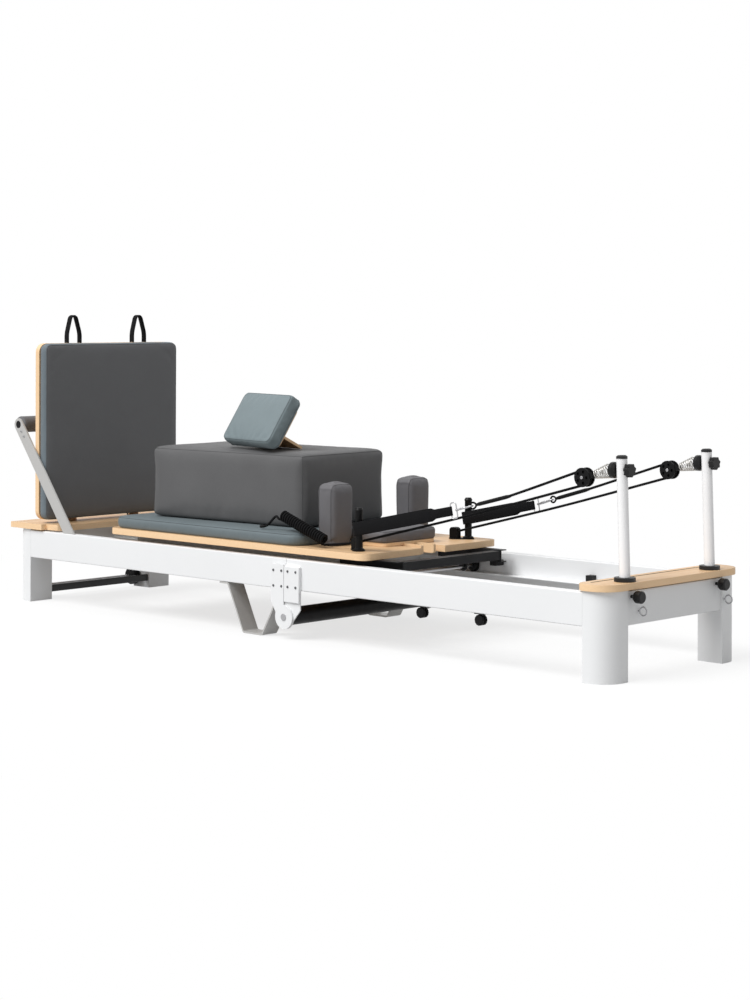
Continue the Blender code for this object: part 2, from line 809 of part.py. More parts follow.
def make_pulley_rails():
    """Pulley rails, each with a rubber-faced stop on its track and two roller forks under it."""
    start = FOLD_X + FOLD_GAP / 2
    end = LENGTH - LEG_LONG - CLEARANCE
    for name, far in (("pulley_rail_near", False), ("pulley_rail_far", True)):
        rail = make_rail(name, "pulley_end", start, end, start, PULLEY_PLATFORM_START, far)
        stops = bmesh.new()
        stop_x = WHEEL_PLACES[1] + WHEEL_RADIUS + CARRIAGE_TRAVEL + STOP_GAP
        y0, y1 = sorted((side_y(RAIL_THICK - RAIL_WALL / 2, far), side_y(RAIL_THICK + STOP_SIZE[1], far)))
        low = (stop_x, y0, TRACK_TOP - TRACK_THICK / 2)
        add_box(stops, low, (stop_x + STOP_SIZE[0], y1, TRACK_TOP + STOP_SIZE[2]))
        fuse(rail, stops, name + "_stop")
        plates = bmesh.new()
        forks = bmesh.new()
        y = side_y(CASTER_INSET + CASTER_TRACK, far)
        plate_top = RAIL_BOTTOM + RAIL_WALL / 2
        plate_low = RAIL_BOTTOM - CASTER_PLATE[2]
        half_x = CASTER_PLATE[0] / 2
        half_y = CASTER_PLATE[1] / 2
        for x in CASTER_PLACES:
            add_box(plates, (x - half_x, y - half_y, plate_low), (x + half_x, y + half_y, plate_top))
            shape = belt((x, CASTER_Z), CASTER_FORK, (x, plate_low), CASTER_FORK * 1.3, 5)
            hole = circle((x, CASTER_Z), CASTER_AXLE_RADIUS + CLEARANCE, 12)
            half = CASTER_FORK_THICK / 2
            add_prism(forks, "Y", shape, y - half, y + half, [hole])
        fuse(rail, plates, name + "_roller_plates")
        fuse(rail, forks, name + "_roller_forks")


def make_foot_platform():
    low_y = -PLATFORM_LAP
    high_y = WIDTH + PLATFORM_LAP
    radii = (PLATFORM_SMALL_RADIUS, PLATFORM_RADIUS, PLATFORM_RADIUS, PLATFORM_SMALL_RADIUS)
    outline = rounded_rectangle(-FOOT_PLATFORM_LAP, FOOT_PLATFORM_END, low_y, high_y, radii, 7)
    bm = bmesh.new()
    add_prism(bm, "Z", outline, PLATFORM_BOTTOM, PLATFORM_TOP)
    board = make("foot_platform", bm, "plywood", "foot_end")
    notches = bmesh.new()
    reach = ARM_INSET + ARM_THICK * 1.5
    for y0, y1 in ((low_y * 2, reach), (WIDTH - reach, high_y - low_y)):
        low = (ARM_SLOT[0] - ARM_WIDE * 0.7, y0, PLATFORM_BOTTOM - PLY_THICK)
        add_box(notches, low, (FOOT_PLATFORM_END + PLY_THICK, y1, PLATFORM_TOP + PLY_THICK))
    cut(board, notches, "foot_platform_notches")


def make_pulley_platform():
    radii = (PLATFORM_RADIUS / 2, PLATFORM_RADIUS, PLATFORM_RADIUS, PLATFORM_RADIUS / 2)
    outline = rounded_rectangle(
        PULLEY_PLATFORM_START, LENGTH + PLATFORM_LAP, -PLATFORM_LAP, WIDTH + PLATFORM_LAP, radii, 7)
    centre_x = riser_x(PLATFORM_TOP - PLY_THICK / 2)
    holes = [circle((centre_x, y), riser_hole(), 16) for y in riser_ys()]
    bm = bmesh.new()
    add_prism(bm, "Z", outline, PLATFORM_BOTTOM, PLATFORM_TOP, holes)
    make("pulley_platform", bm, "plywood", "pulley_end")


# Fold hinge

def make_foot_leaves():
    """Outer layer carries the front lobe and its riveted pin; a thicker block seats on the rail."""
    right = FOLD_X - FOLD_GAP / 2
    left = right - FOOT_LEAF_LENGTH
    lobe = arc((FOLD_X, FOLD_Z), LOBE_RADIUS, 90 + 1, -200, 16)
    outline = [(right, LEAF_TOP), (right, FOLD_Z + LOBE_RADIUS)] + lobe
    outline += [(left, LEAF_SHOULDER), (left, LEAF_TOP - LEAF_CORNER), (left + LEAF_CORNER, LEAF_TOP)]
    block = leaf_block(left, right)
    layer = (-LEAF_THICK, -LOBE_LAYER - 2 * CLEARANCE)
    head = -LEAF_THICK + CLEARANCE
    radius = HINGE_HEAD_RADIUS
    pin = [(radius * 0.7, head - HINGE_HEAD_THICK), (radius, head - HINGE_HEAD_THICK * 0.6)]
    pin += [(radius, head), (HINGE_PIN_RADIUS, head), (HINGE_PIN_RADIUS, HINGE_PLUG_LENGTH)]
    for side, far in (("near", False), ("far", True)):
        leaf = make_leaf("hinge_leaf_foot_" + side, "foot_end", outline, [], block, layer, far)
        shank = bmesh.new()
        heading = (0, -1, 0) if far else (0, 1, 0)
        add_turned(shank, pin, along((FOLD_X, side_y(0.0, far), FOLD_Z), heading), 16)
        fuse(leaf, shank, "hinge_pin_" + side)


def make_pulley_leaves():
    """Inner layer carries the rear lobe, behind the front one."""
    left = FOLD_X + FOLD_GAP / 2
    right = left + PULLEY_LEAF_LENGTH
    lobe = arc((FOLD_X, FOLD_Z), LOBE_RADIUS, 89, 345, 14)
    outline = [(left, LEAF_TOP)] + lobe
    outline += [(right, LEAF_SHOULDER - LEAF_STEP), (right, LEAF_TOP - LEAF_CORNER)]
    outline.append((right - LEAF_CORNER, LEAF_TOP))
    hole = circle((FOLD_X, FOLD_Z), HINGE_PIN_RADIUS + CLEARANCE, 14)
    block = leaf_block(left, right)
    layer = (-LOBE_LAYER, -CLEARANCE)
    for side, far in (("near", False), ("far", True)):
        make_leaf("hinge_leaf_pulley_" + side, "pulley_end", outline, [hole], block, layer, far)


def leaf_block(left, right):
    inset = CLEARANCE * 2
    return rectangle(left + inset, right - inset, LEAF_SHOULDER + inset, LEAF_TOP - LEAF_CORNER - inset)


def make_leaf(name, body, outline, holes, block, layer, far):
    """Leaf plate on a rail's outer face; layer is the depth of its lobe plate."""
    y0, y1 = sorted((side_y(layer[0], far), side_y(layer[1], far)))
    plate = bmesh.new()
    add_prism(plate, "Y", outline, y0, y1, holes)
    leaf = make(name, plate, "white_paint", body)
    lap = LOBE_LAYER / 2
    outer_layer = layer[0] == -LEAF_THICK
    depths = (layer[1] - lap, -CLEARANCE) if outer_layer else (-LEAF_THICK, layer[0] + lap)
    y0, y1 = sorted((side_y(depths[0], far), side_y(depths[1], far)))
    packing = bmesh.new()
    add_prism(packing, "Y", block, y0, y1)
    fuse(leaf, packing, name + "_block")
    return leaf


def make_hinge_tube():
    """Tube between the hinge leaves, with a bored plug in each end for the hinge pins."""
    bore = HINGE_PIN_RADIUS + CLEARANCE
    radius = HINGE_TUBE_RADIUS
    hollow = radius - HINGE_TUBE_WALL
    plug = HINGE_PLUG_LENGTH
    profile = [(bore, 0), (radius, 0), (radius, WIDTH), (bore, WIDTH), (bore, WIDTH - plug)]
    profile += [(hollow, WIDTH - plug), (hollow, plug), (bore, plug)]
    bm = bmesh.new()
    add_turned(bm, profile, along((FOLD_X, 0, FOLD_Z), (0, 1, 0)), 18, bored=True)
    make("hinge_cross_tube", bm, "black_plastic", "foot_end", smooth=True)


def make_mid_legs():
    """Strap bent into a V under each rail, beside the fold."""
    top = RAIL_BOTTOM - CLEARANCE - MID_LEG_THICK / 2
    floor = MID_LEG_THICK / 2
    points = [(x, top) for x in MID_LEG_TOPS[:2]] + [(x, floor) for x in MID_LEG_FOOT]
    points += [MID_LEG_KNEE] + [(x, top) for x in MID_LEG_TOPS[2:]]
    path = fillet_path([Vector(point) for point in points], MID_LEG_BEND / 2)
    outline = strip_outline(path, MID_LEG_THICK)
    for name, far in (("mid_leg_near", False), ("mid_leg_far", True)):
        y0, y1 = sorted((side_y(CLEARANCE, far), side_y(CLEARANCE + MID_LEG_WIDE, far)))
        bm = bmesh.new()
        add_prism(bm, "Y", outline, y0, y1)
        make(name, bm, "silver_paint", "foot_end")


# Foot end fittings

def make_transport():
    """Axle that turns in the foot legs, with a wheel pressed on near each end."""
    axle = TRANSPORT_AXLE_RADIUS
    radius = TRANSPORT_RADIUS
    edge = TRANSPORT_EDGE
    start = LEG_WIDE - LEG_WALL * 2
    inner = LEG_WIDE + TRANSPORT_GAP
    outer = inner + TRANSPORT_WHEEL_WIDE
    wheel = [(axle, inner), (radius - edge, inner), (radius, inner + edge), (radius, outer - edge)]
    wheel += [(radius - edge, outer), (axle, outer)]
    far_wheel = [(r, WIDTH - h) for r, h in reversed(wheel)]
    profile = [(axle, start)] + wheel + far_wheel + [(axle, WIDTH - start)]
    bm = bmesh.new()
    add_turned(bm, profile, along((TRANSPORT_X, 0, TRANSPORT_Z), (0, 1, 0)), 16)
    make("transport_wheelset", bm, "rubber", "foot_end", (TRANSPORT_X, MIDDLE, TRANSPORT_Z), smooth=True)


def make_jump_board():
    low_y = MIDDLE - JUMP_WIDTH / 2
    high_y = MIDDLE + JUMP_WIDTH / 2
    bm = bmesh.new()
    outline = rounded_rectangle(low_y, high_y, JUMP_BOTTOM, JUMP_TOP, JUMP_CORNER, 5)
    add_prism(bm, "X", outline, JUMP_BACK, JUMP_BACK + JUMP_PLY)
    panel = make("jump_board_panel", bm, "plywood", "foot_end")
    posts = bmesh.new()
    for offset in (-JUMP_POST_OFFSET, JUMP_POST_OFFSET):
        y = MIDDLE + offset
        low = (JUMP_BACK - JUMP_POST_THICK, y - JUMP_POST_WIDE / 2, PLATFORM_TOP + CLEARANCE)
        add_box(posts, low, (JUMP_BACK + JUMP_POST_THICK / 4, y + JUMP_POST_WIDE / 2, JUMP_POST_TOP))
    fuse(panel, posts, "jump_board_posts")

    pad = bmesh.new()
    front = JUMP_BACK + JUMP_PLY + CLEARANCE
    centre = Vector((front, MIDDLE, (JUMP_BOTTOM + JUMP_TOP) / 2))
    place = Matrix.Translation(centre) @ Matrix.Rotation(radians(90), 4, "Y")
    size = (JUMP_TOP - JUMP_BOTTOM, JUMP_WIDTH, JUMP_PAD_THICK)
    add_cushion(pad, size, place, JUMP_CORNER, JUMP_PAD_EDGE, PAD_CROWN, PAD_TUCK)
    make("jump_board_pad", pad, "grey_vinyl", "foot_end", smooth=True)


def make_jump_loops():
    """Webbing carry loops that stand on the board's top edge."""
    width, thick = LOOP_WEBBING
    x0 = JUMP_BACK + JUMP_PLY / 2 - width / 2
    foot = JUMP_TOP + CLEARANCE
    half = LOOP_HALF_WIDTH
    shoulder = foot + LOOP_HEIGHT * 0.35
    crest = foot + LOOP_HEIGHT
    for name, offset in zip(("jump_board_loop_near", "jump_board_loop_far"), LOOP_OFFSETS):
        y = MIDDLE + offset
        points = [(y - half, foot), (y - half, shoulder), (y - half * 0.4, crest)]
        points += [(y + half * 0.3, crest), (y + half, shoulder), (y + half, foot)]
        path = fillet_path([Vector(point) for point in points], LOOP_BEND)
        bm = bmesh.new()
        add_prism(bm, "X", strip_outline(path, thick), x0, x0 + width)
        make(name, bm, "black_webbing", "foot_end")


# Foot bar

def foot_bar_top():
    lean = radians(FOOT_BAR_LEAN)
    return (FOOT_BAR_PIVOT_X - FOOT_BAR_REACH * sin(lean), FOOT_BAR_PIVOT_Z + FOOT_BAR_REACH * cos(lean))


def make_foot_bar():
    """Two flat arms joined by a welded tube at their tops, with a foam grip on the tube."""
    pivot = (FOOT_BAR_PIVOT_X, FOOT_BAR_PIVOT_Z)
    top = foot_bar_top()
    outline = belt(pivot, ARM_WIDE / 2, top, ARM_WIDE / 2, 8)
    bore = GRIP_TUBE_RADIUS - GRIP_TUBE_WALL
    holes = [circle(pivot, ARM_PIN_RADIUS + CLEARANCE, 12), circle(top, bore - GRIP_TUBE_WALL, 14)]
    arms = bmesh.new()
    for far in (False, True):
        y0, y1 = sorted((side_y(ARM_INSET, far), side_y(ARM_INSET + ARM_THICK, far)))
        add_prism(arms, "Y", outline, y0, y1, holes)
    bar = make("foot_bar_frame", arms, "silver_paint", "foot_bar", smooth=True)
    weld = ARM_INSET + ARM_THICK / 2
    tube = bmesh.new()
    add_ring(tube, (top[0], weld, top[1]), (top[0], WIDTH - weld, top[1]), GRIP_TUBE_RADIUS, bore, 16)
    fuse(bar, tube, "foot_bar_tube")
    start = ARM_INSET + ARM_THICK + CLEARANCE
    length = WIDTH - 2 * start
    inner = GRIP_TUBE_RADIUS + CLEARANCE
    edge = GRIP_EDGE
    profile = [(inner, 0), (GRIP_RADIUS - edge, 0), (GRIP_RADIUS, edge), (GRIP_RADIUS, length - edge)]
    profile += [(GRIP_RADIUS - edge, length), (inner, length)]
    grip = bmesh.new()
    add_turned(grip, profile, along((top[0], start, top[1]), (0, 1, 0)), 20, bored=True)
    make("foot_bar_grip", grip, "foam", "foot_bar", smooth=True)


# Carriage

def make_carriage_board():
    low_y = CARRIAGE_INSET
    high_y = WIDTH - CARRIAGE_INSET
    radius = CARRIAGE_RADIUS
    notch_low = MIDDLE - NOTCH_WIDE / 2
    notch_high = MIDDLE + NOTCH_WIDE / 2
    outline = arc((CARRIAGE_START + radius, low_y + radius), radius, 180, 270, 5)
    outline += arc((CARRIAGE_END - radius, low_y + radius), radius, 270, 360, 5)
    outline += [(CARRIAGE_END, notch_low), (NOTCH_START, notch_low), (NOTCH_START, notch_high)]
    outline += [(CARRIAGE_END, notch_high)]
    outline += arc((CARRIAGE_END - radius, high_y - radius), radius, 0, 90, 5)
    outline += arc((CARRIAGE_START + radius, high_y - radius), radius, 90, 180, 5)
    bm = bmesh.new()
    add_prism(bm, "Z", outline, CARRIAGE_BOTTOM, CARRIAGE_TOP)
    make("carriage_board", bm, "plywood", "carriage")


def make_carriage_pad():
    bm = bmesh.new()
    start = CARRIAGE_START + PAD_INSET / 2
    low_y = CARRIAGE_INSET + PAD_INSET
    size = (PAD_END - start, WIDTH - 2 * low_y, PAD_THICK)
    place = Matrix.Translation(Vector(((start + PAD_END) / 2, MIDDLE, CARRIAGE_TOP + CLEARANCE)))
    add_cushion(bm, size, place, PAD_CORNER, PAD_EDGE, PAD_CROWN, PAD_TUCK, steps=5)
    make("carriage_pad", bm, "pale_vinyl", "carriage", smooth=True)


def make_carriage_frame():
    """Channel beams under the board, with crossbars, axle hangers and guide blocks fixed to them."""
    top = CARRIAGE_BOTTOM - CLEARANCE
    outer = BEAM_Y
    inner = BEAM_Y + BEAM_WIDE
    wall = BEAM_WALL
    channel = [(outer, BEAM_BOTTOM), (inner, BEAM_BOTTOM), (inner, top), (outer, top), (outer, top - wall)]
    channel += [(inner - wall, top - wall), (inner - wall, BEAM_BOTTOM + wall), (outer, BEAM_BOTTOM + wall)]
    beams = bmesh.new()
    add_prism(beams, "X", channel, BEAM_START, BEAM_END)
    add_prism(beams, "X", mirror_y(channel), BEAM_START, BEAM_END)
    frame = make("carriage_frame", beams, "dark_paint", "carriage")
    bars = bmesh.new()
    bar_top = top - wall
    bar_low = bar_top - CROSSBAR_SIZE[1]
    weld = inner - wall / 2
    for x in CROSSBAR_PLACES:
        x0 = x - CROSSBAR_SIZE[0] / 2
        x1 = x + CROSSBAR_SIZE[0] / 2
        section = [(x0, bar_low), (x0 + wall, bar_low), (x0 + wall, bar_top - wall)]
        section += [(x1 - wall, bar_top - wall), (x1 - wall, bar_low), (x1, bar_low)]
        section += [(x1, bar_top), (x0, bar_top)]
        add_prism(bars, "Y", section, weld, WIDTH - weld)
    fuse(frame, bars, "carriage_crossbars")
    plate = bmesh.new()
    plate_end = CROSSBAR_PLACES[0] - CROSSBAR_SIZE[0] / 2 + wall / 2
    low = (spring_plate_face(), MIDDLE - SPRING_PLATE[1] / 2, SPRING_Z - SPRING_RADIUS - wall)
    add_box(plate, low, (plate_end, MIDDLE + SPRING_PLATE[1] / 2, bar_top - wall / 2))
    fuse(frame, plate, "carriage_spring_plate")
    hangers = bmesh.new()
    half = HANGER_SIZE[0] / 2
    for x in WHEEL_PLACES:
        hole = circle((x, wheel_z()), WHEEL_AXLE_RADIUS + CLEARANCE, 14)
        rim = arc((x, wheel_z()), HANGER_RIM, 210, 330, 6)
        outline = [(x - half, bar_top - wall)] + rim + [(x + half, bar_top - wall)]
        for far in (False, True):
            y0, y1 = sorted((side_y(inner - wall / 2, far), side_y(inner + HANGER_SIZE[1], far)))
            add_prism(hangers, "Y", outline, y0, y1, [hole])
    fuse(frame, hangers, "carriage_hangers")
    guides = bmesh.new()
    nose = RAIL_THICK + GUIDE_GAP + GUIDE_RADIUS
    guide_top = BEAM_BOTTOM + wall / 2
    for far in (False, True):
        outline = arc((GUIDE_X, nose), GUIDE_RADIUS, 180, 360, 8)
        back = BEAM_Y + BEAM_WIDE / 2
        outline += [(GUIDE_X + GUIDE_RADIUS, back), (GUIDE_X - GUIDE_RADIUS, back)]
        outline = [(a, side_y(b, far)) for a, b in outline]
        add_prism(guides, "Z", outline, guide_top - GUIDE_HEIGHT, guide_top)
    fuse(frame, guides, "carriage_guides")


def wheel_z():
    return TRACK_TOP + WHEEL_RADIUS + CLEARANCE


def spring_plate_face():
    return CROSSBAR_PLACES[0] - CROSSBAR_SIZE[0] / 2 - SPRING_PLATE[0]


def make_carriage_wheels():
    """Through axles in the hangers, each with two wheels pressed on."""
    axle = WHEEL_AXLE_RADIUS
    radius = WHEEL_RADIUS
    edge = WHEEL_EDGE
    start = RAIL_THICK + WHEEL_GAP
    end = start + WHEEL_WIDE
    wheel = [(radius - edge, start), (radius, start + edge), (radius, end - edge)]
    wheel += [(radius - edge, end), (axle, end)]
    profile = wheel + [(r, WIDTH - h) for r, h in reversed(wheel)]
    for name, x in zip(("carriage_wheels_foot", "carriage_wheels_pulley"), WHEEL_PLACES):
        bm = bmesh.new()
        add_turned(bm, profile, along((x, 0, wheel_z()), (0, 1, 0)), 16)
        make(name, bm, "black_plastic", "carriage", (x, MIDDLE, wheel_z()), smooth=True)


def make_carriage_springs():
    """Plain bodies of the tension springs from the foot cross rail to the carriage."""
    start = END_RECESS + FOOT_CROSS_THICK + CLEARANCE
    end = spring_plate_face() - CLEARANCE
    for side, y in (("near", MIDDLE - SPRING_OFFSET), ("far", MIDDLE + SPRING_OFFSET)):
        bm = bmesh.new()
        add_rod(bm, (start, y, SPRING_Z), (end, y, SPRING_Z), SPRING_RADIUS, 14)
        make("carriage_spring_" + side, bm, "steel", "carriage", smooth=True)


def make_shoulder_rests():
    for side, far in (("near", False), ("far", True)):
        bm = bmesh.new()
        y = side_y(REST_Y + REST_SIZE[1] / 2, far)
        place = Matrix.Translation(Vector((REST_X + REST_SIZE[0] / 2, y, CARRIAGE_TOP + CLEARANCE)))
        add_cushion(bm, REST_SIZE, place, REST_EDGE, REST_EDGE, PAD_CROWN, PAD_TUCK, steps=3)
        make("shoulder_rest_" + side, bm, "grey_vinyl", "carriage", smooth=True)


def make_headrest():
    board = bmesh.new()
    low = CARRIAGE_TOP + CLEARANCE
    x0 = HEADREST_START + HEADREST_BOARD_INSET
    x1 = HEADREST_END - HEADREST_BOARD_INSET
    half = HEADREST_WIDE / 2 - HEADREST_BOARD_INSET * 2
    outline = rounded_rectangle(x0, x1, MIDDLE - half, MIDDLE + half, HEADREST_BOARD_CORNER, 3)
    add_prism(board, "Z", outline, low, low + HEADREST_PLY)
    panel = make("headrest_board", board, "plywood", "headrest")
    ribs = bmesh.new()
    length, thick, depth = HEADREST_RIB
    start = HEADREST_RIB_START
    for offset in (-HEADREST_RIB_OFFSET, HEADREST_RIB_OFFSET):
        y = MIDDLE + offset
        shape = rounded_rectangle(start, start + length, low - depth, low + HEADREST_PLY / 2, thick / 2, 2)
        add_prism(ribs, "Y", shape, y - thick / 2, y + thick / 2)
    fuse(panel, ribs, "headrest_ribs")
    pad = bmesh.new()
    size = (HEADREST_END - HEADREST_START, HEADREST_WIDE, HEADREST_PAD)
    centre = Vector(((HEADREST_START + HEADREST_END) / 2, MIDDLE, low + HEADREST_PLY + CLEARANCE))
    place = Matrix.Translation(centre)
    add_cushion(pad, size, place, HEADREST_CORNER, HEADREST_EDGE, PAD_CROWN, PAD_TUCK, steps=3)
    make("headrest_pad", pad, "grey_vinyl", "headrest", smooth=True)


def make_rope_posts():
    """Upright strap peg and low rope cleat on one foot plate, at each side of the carriage."""
    foot = CARRIAGE_TOP + CLEARANCE
    rise = PEG_TOP - foot
    radius = PEG_RADIUS
    profile = [(radius * 1.5, POST_PLATE / 2), (radius * 1.5, POST_PLATE * 2), (radius, POST_PLATE * 3)]
    profile += [(radius, rise - radius), (radius * 1.15, rise - radius * 0.6), (radius * 0.8, rise)]
    length, wide, height = CLEAT_SIZE
    for side, far in (("near", False), ("far", True)):
        peg_y = side_y(PEG_Y, far)
        cleat_y = side_y(CLEAT_Y, far)
        bm = bmesh.new()
        outline = belt((PEG_X, peg_y), radius * 1.7, (CLEAT_X, cleat_y), length / 2 + POST_PLATE, 6)
        add_prism(bm, "Z", outline, foot, foot + POST_PLATE)
        post = make("rope_post_" + side, bm, "black_plastic", "carriage", smooth=True)
        peg = bmesh.new()
        add_turned(peg, profile, along((PEG_X, peg_y, foot), (0, 0, 1)), 12)
        fuse(post, peg, "strap_peg_" + side)
        cleat = bmesh.new()
        shape = rounded_rectangle(
            CLEAT_X - length / 2, CLEAT_X + length / 2, foot + POST_PLATE / 2, foot + height, CLEAT_CORNERS)
        add_prism(cleat, "Y", shape, cleat_y - wide / 2, cleat_y + wide / 2)
        fuse(post, cleat, "rope_cleat_" + side)


def make_sitting_box():
    bm = bmesh.new()
    place = Matrix.Translation(Vector((BOX_SIZE[0] / 2, BOX_SIZE[1] / 2, 0)))
    add_cushion(bm, BOX_SIZE, place, BOX_EDGE, BOX_EDGE, 0.0, 0.0, base_edge=BOX_EDGE / 2, steps=4)
    make_local("sitting_box", bm, "grey_vinyl", "sitting_box_place", smooth=True)


def pillow_board_back():
    return -CLEARANCE - PILLOW_PLY


def make_pillow():
    """Leaning pillow with a ply back and a hinged ply prop, in the pillow's own axes."""
    width, rise = PILLOW_SIZE[:2]
    pad = bmesh.new()
    place = Matrix.Translation(Vector((-width / 2, rise / 2, 0)))
    add_cushion(pad, PILLOW_SIZE, place, PILLOW_CORNER, PILLOW_EDGE, PAD_CROWN, PAD_TUCK, steps=3)
    make_local("pillow_pad", pad, "pale_vinyl", "pillow", smooth=True)
    board = bmesh.new()
    inset = PILLOW_PLY_INSET
    outline = rounded_rectangle(inset - width, -inset, inset, rise - inset, PILLOW_EDGE, 3)
    add_prism(board, "Z", outline, pillow_board_back(), -CLEARANCE)
    make_local("pillow_board", board, "plywood", "pillow")
    prop = bmesh.new()
    half = PROP_THICK / 2
    length = prop_length()
    side = arc((0, 0), half, 90, 270, 6) + [(length, -half), (length, half)]
    add_prism(prop, "X", side, -PROP_WIDE / 2, PROP_WIDE / 2)
    make_local("pillow_prop", prop, "plywood", "pillow_prop_hinge")


def pillow_turn():
    tilt = Matrix.Rotation(radians(PILLOW_TILT), 4, "X")
    return Matrix.Rotation(radians(PILLOW_TURN), 4, "Z") @ tilt


def box_top():
    return CARRIAGE_TOP + CLEARANCE + PAD_THICK + CLEARANCE + BOX_SIZE[2]


def prop_hinge_local():
    return Vector((-PILLOW_SIZE[0] / 2, PROP_HINGE, pillow_board_back() - CLEARANCE - PROP_THICK / 2))


def prop_length():
    """Reach from the prop's hinge to its square end, just above the sitting box."""
    hinge_height = (pillow_turn() @ prop_hinge_local()).z
    angle = radians(PROP_ANGLE)
    return (hinge_height - PROP_THICK / 2 * cos(angle)) / sin(angle)


# Risers and pulleys

def riser_ys():
    return (RISER_Y, WIDTH - RISER_Y)


def riser_x(z):
    """Middle of a riser at a height; it leans towards the carriage."""
    return RISER_X - (z - PLATFORM_TOP) * tan(radians(RISER_LEAN))


def riser_hole():
    return RISER_RADIUS + RISER_PLAY


def riser_axis():
    lean = radians(RISER_LEAN)
    return Vector((-sin(lean), 0, cos(lean)))


def riser_cross():
    """Direction square to the riser, towards the end of the frame."""
    lean = radians(RISER_LEAN)
    return Vector((cos(lean), 0, sin(lean)))


def make_risers():
    """Leaning tubes, each with a collar on the platform, a cap and a cross hole for its knob."""
    cosine = cos(radians(RISER_LEAN))
    length = (RISER_TOP - RISER_FOOT) / cosine
    for side, y in zip(("near", "far"), riser_ys()):
        bm = bmesh.new()
        foot = Vector((riser_x(RISER_FOOT), y, RISER_FOOT))
        add_ring(bm, foot, foot + riser_axis() * length, RISER_RADIUS, RISER_RADIUS - RISER_WALL, 18)
        riser = make("riser_" + side, bm, "white_paint", "pulley_end", smooth=True)
        collar = bmesh.new()
        low = PLATFORM_TOP + CLEARANCE
        centre = (riser_x(low + COLLAR_HEIGHT / 2), y)
        inner = circle(centre, RISER_RADIUS - RISER_WALL / 2, 18)
        add_pipe(collar, "Z", circle(centre, COLLAR_RADIUS, 18), inner, low, low + COLLAR_HEIGHT)
        fuse(riser, collar, "riser_collar_" + side)
        cap = bmesh.new()
        radius = RISER_RADIUS + RISER_WALL / 4
        profile = [(radius, 0), (radius, CAP_HEIGHT * 0.7), (RISER_RADIUS * 0.7, CAP_HEIGHT)]
        add_turned(cap, profile, along(foot + riser_axis() * (length - RISER_WALL), riser_axis()), 18)
        fuse(riser, cap, "riser_cap_" + side)
        hole = bmesh.new()
        cross = Vector((riser_x(KNOB_Z), y, KNOB_Z))
        reach = riser_cross() * RISER_RADIUS * 2
        add_rod(hole, cross - reach, cross + reach, KNOB_STEM_RADIUS + CLEARANCE * 2, 12)
        cut(riser, hole, "riser_hole_" + side)


def make_pulley_frame():
    """Pulley legs and cross rail, bored for the risers and clamp screws, with two eye rings."""
    end = LENGTH - END_RECESS
    frame = make_end_frame("pulley_end_frame", "pulley_end", True, end - PULLEY_CROSS_THICK, end)
    holes = bmesh.new()
    for y in riser_ys():
        x = riser_x(RAIL_TOP)
        add_rod(holes, (x, y, RAIL_TOP - RAIL_WALL * 2), (x, y, RAIL_TOP + RAIL_WALL * 2), riser_hole(), 16)
        start = (end - RAIL_WALL * 2, y, CLAMP_Z)
        add_rod(holes, start, (end + RAIL_WALL * 2, y, CLAMP_Z), KNOB_STEM_RADIUS + CLEARANCE * 2, 12)
    cut(frame, holes, "pulley_frame_holes")
    shanks = bmesh.new()
    rings = bmesh.new()
    for (y, z), face in zip(EYE_PLACES, (end, LENGTH)):
        inside = (face - LEG_WALL / 2, y, z)
        add_rod(shanks, inside, (face + EYE_RING_WIRE * 2, y, z), EYE_RING_WIRE * 1.2, 10)
        centre = (face + EYE_RING_WIRE * 2 + EYE_RING_RADIUS, z)
        points = [Vector((a, y, b)) for a, b in circle(centre, EYE_RING_RADIUS, 12)]
        add_hoop(rings, points, Vector((0, 1, 0)), EYE_RING_WIRE, 6)
    fuse(frame, shanks, "eye_ring_shanks")
    fuse(frame, rings, "eye_rings")


def lobed_circle(radius, lobes, depth, points_per_lobe=4):
    """Round outline with scallops for the fingers."""
    outline = []
    for step in range(lobes * points_per_lobe):
        angle = 2 * pi * step / (lobes * points_per_lobe)
        reach = radius - depth * (1 - cos(lobes * angle)) / 2
        outline.append((reach * cos(angle), reach * sin(angle)))
    return outline


def make_knobs():
    """Star knobs with a bolt through the riser and a spring boot, and clamp knobs on the end rail."""
    for side, y in zip(("near", "far"), riser_ys()):
        centre = Vector((riser_x(KNOB_Z), y, KNOB_Z))
        place = along(centre, riser_cross())
        bm = bmesh.new()
        start = RISER_RADIUS + KNOB_GAP
        outline = lobed_circle(KNOB_RADIUS, KNOB_LOBES, KNOB_SCALLOP)
        add_prism(bm, "Z", outline, start, start + KNOB_THICK, place=place)
        knob = make("pulley_knob_" + side, bm, "black_plastic", "pulley_end", centre, smooth=True)
        seat = RISER_RADIUS + CLEARANCE
        profile = [(BOOT_RADIUS, -seat - BOOT_LENGTH), (BOOT_RADIUS, -seat - BOOT_LENGTH * 0.4)]
        profile += [(BOOT_RADIUS * 0.8, -seat), (KNOB_STEM_RADIUS, -seat)]
        profile.append((KNOB_STEM_RADIUS, start + KNOB_GAP))
        stem = bmesh.new()
        add_turned(stem, profile, place, 16)
        fuse(knob, stem, "pulley_boot_" + side)
        tip = riser_x(CLAMP_Z) + RISER_RADIUS / cos(radians(RISER_LEAN)) + CLEARANCE
        face = CLAMP_END - tip - CLAMP_THICK
        radius = CLAMP_RADIUS
        profile = [(KNOB_STEM_RADIUS, 0), (KNOB_STEM_RADIUS, face), (radius * 0.75, face)]
        profile.append((radius, face + CLAMP_EDGES[0]))
        profile += [(radius, CLAMP_END - tip - CLAMP_EDGES[1]), (radius * 0.8, CLAMP_END - tip)]
        clamp = bmesh.new()
        add_turned(clamp, profile, along((tip, y, CLAMP_Z), (1, 0, 0)), 16)
        make("clamp_knob_" + side, clamp, "black_plastic", "pulley_end", (tip, y, CLAMP_Z), smooth=True)


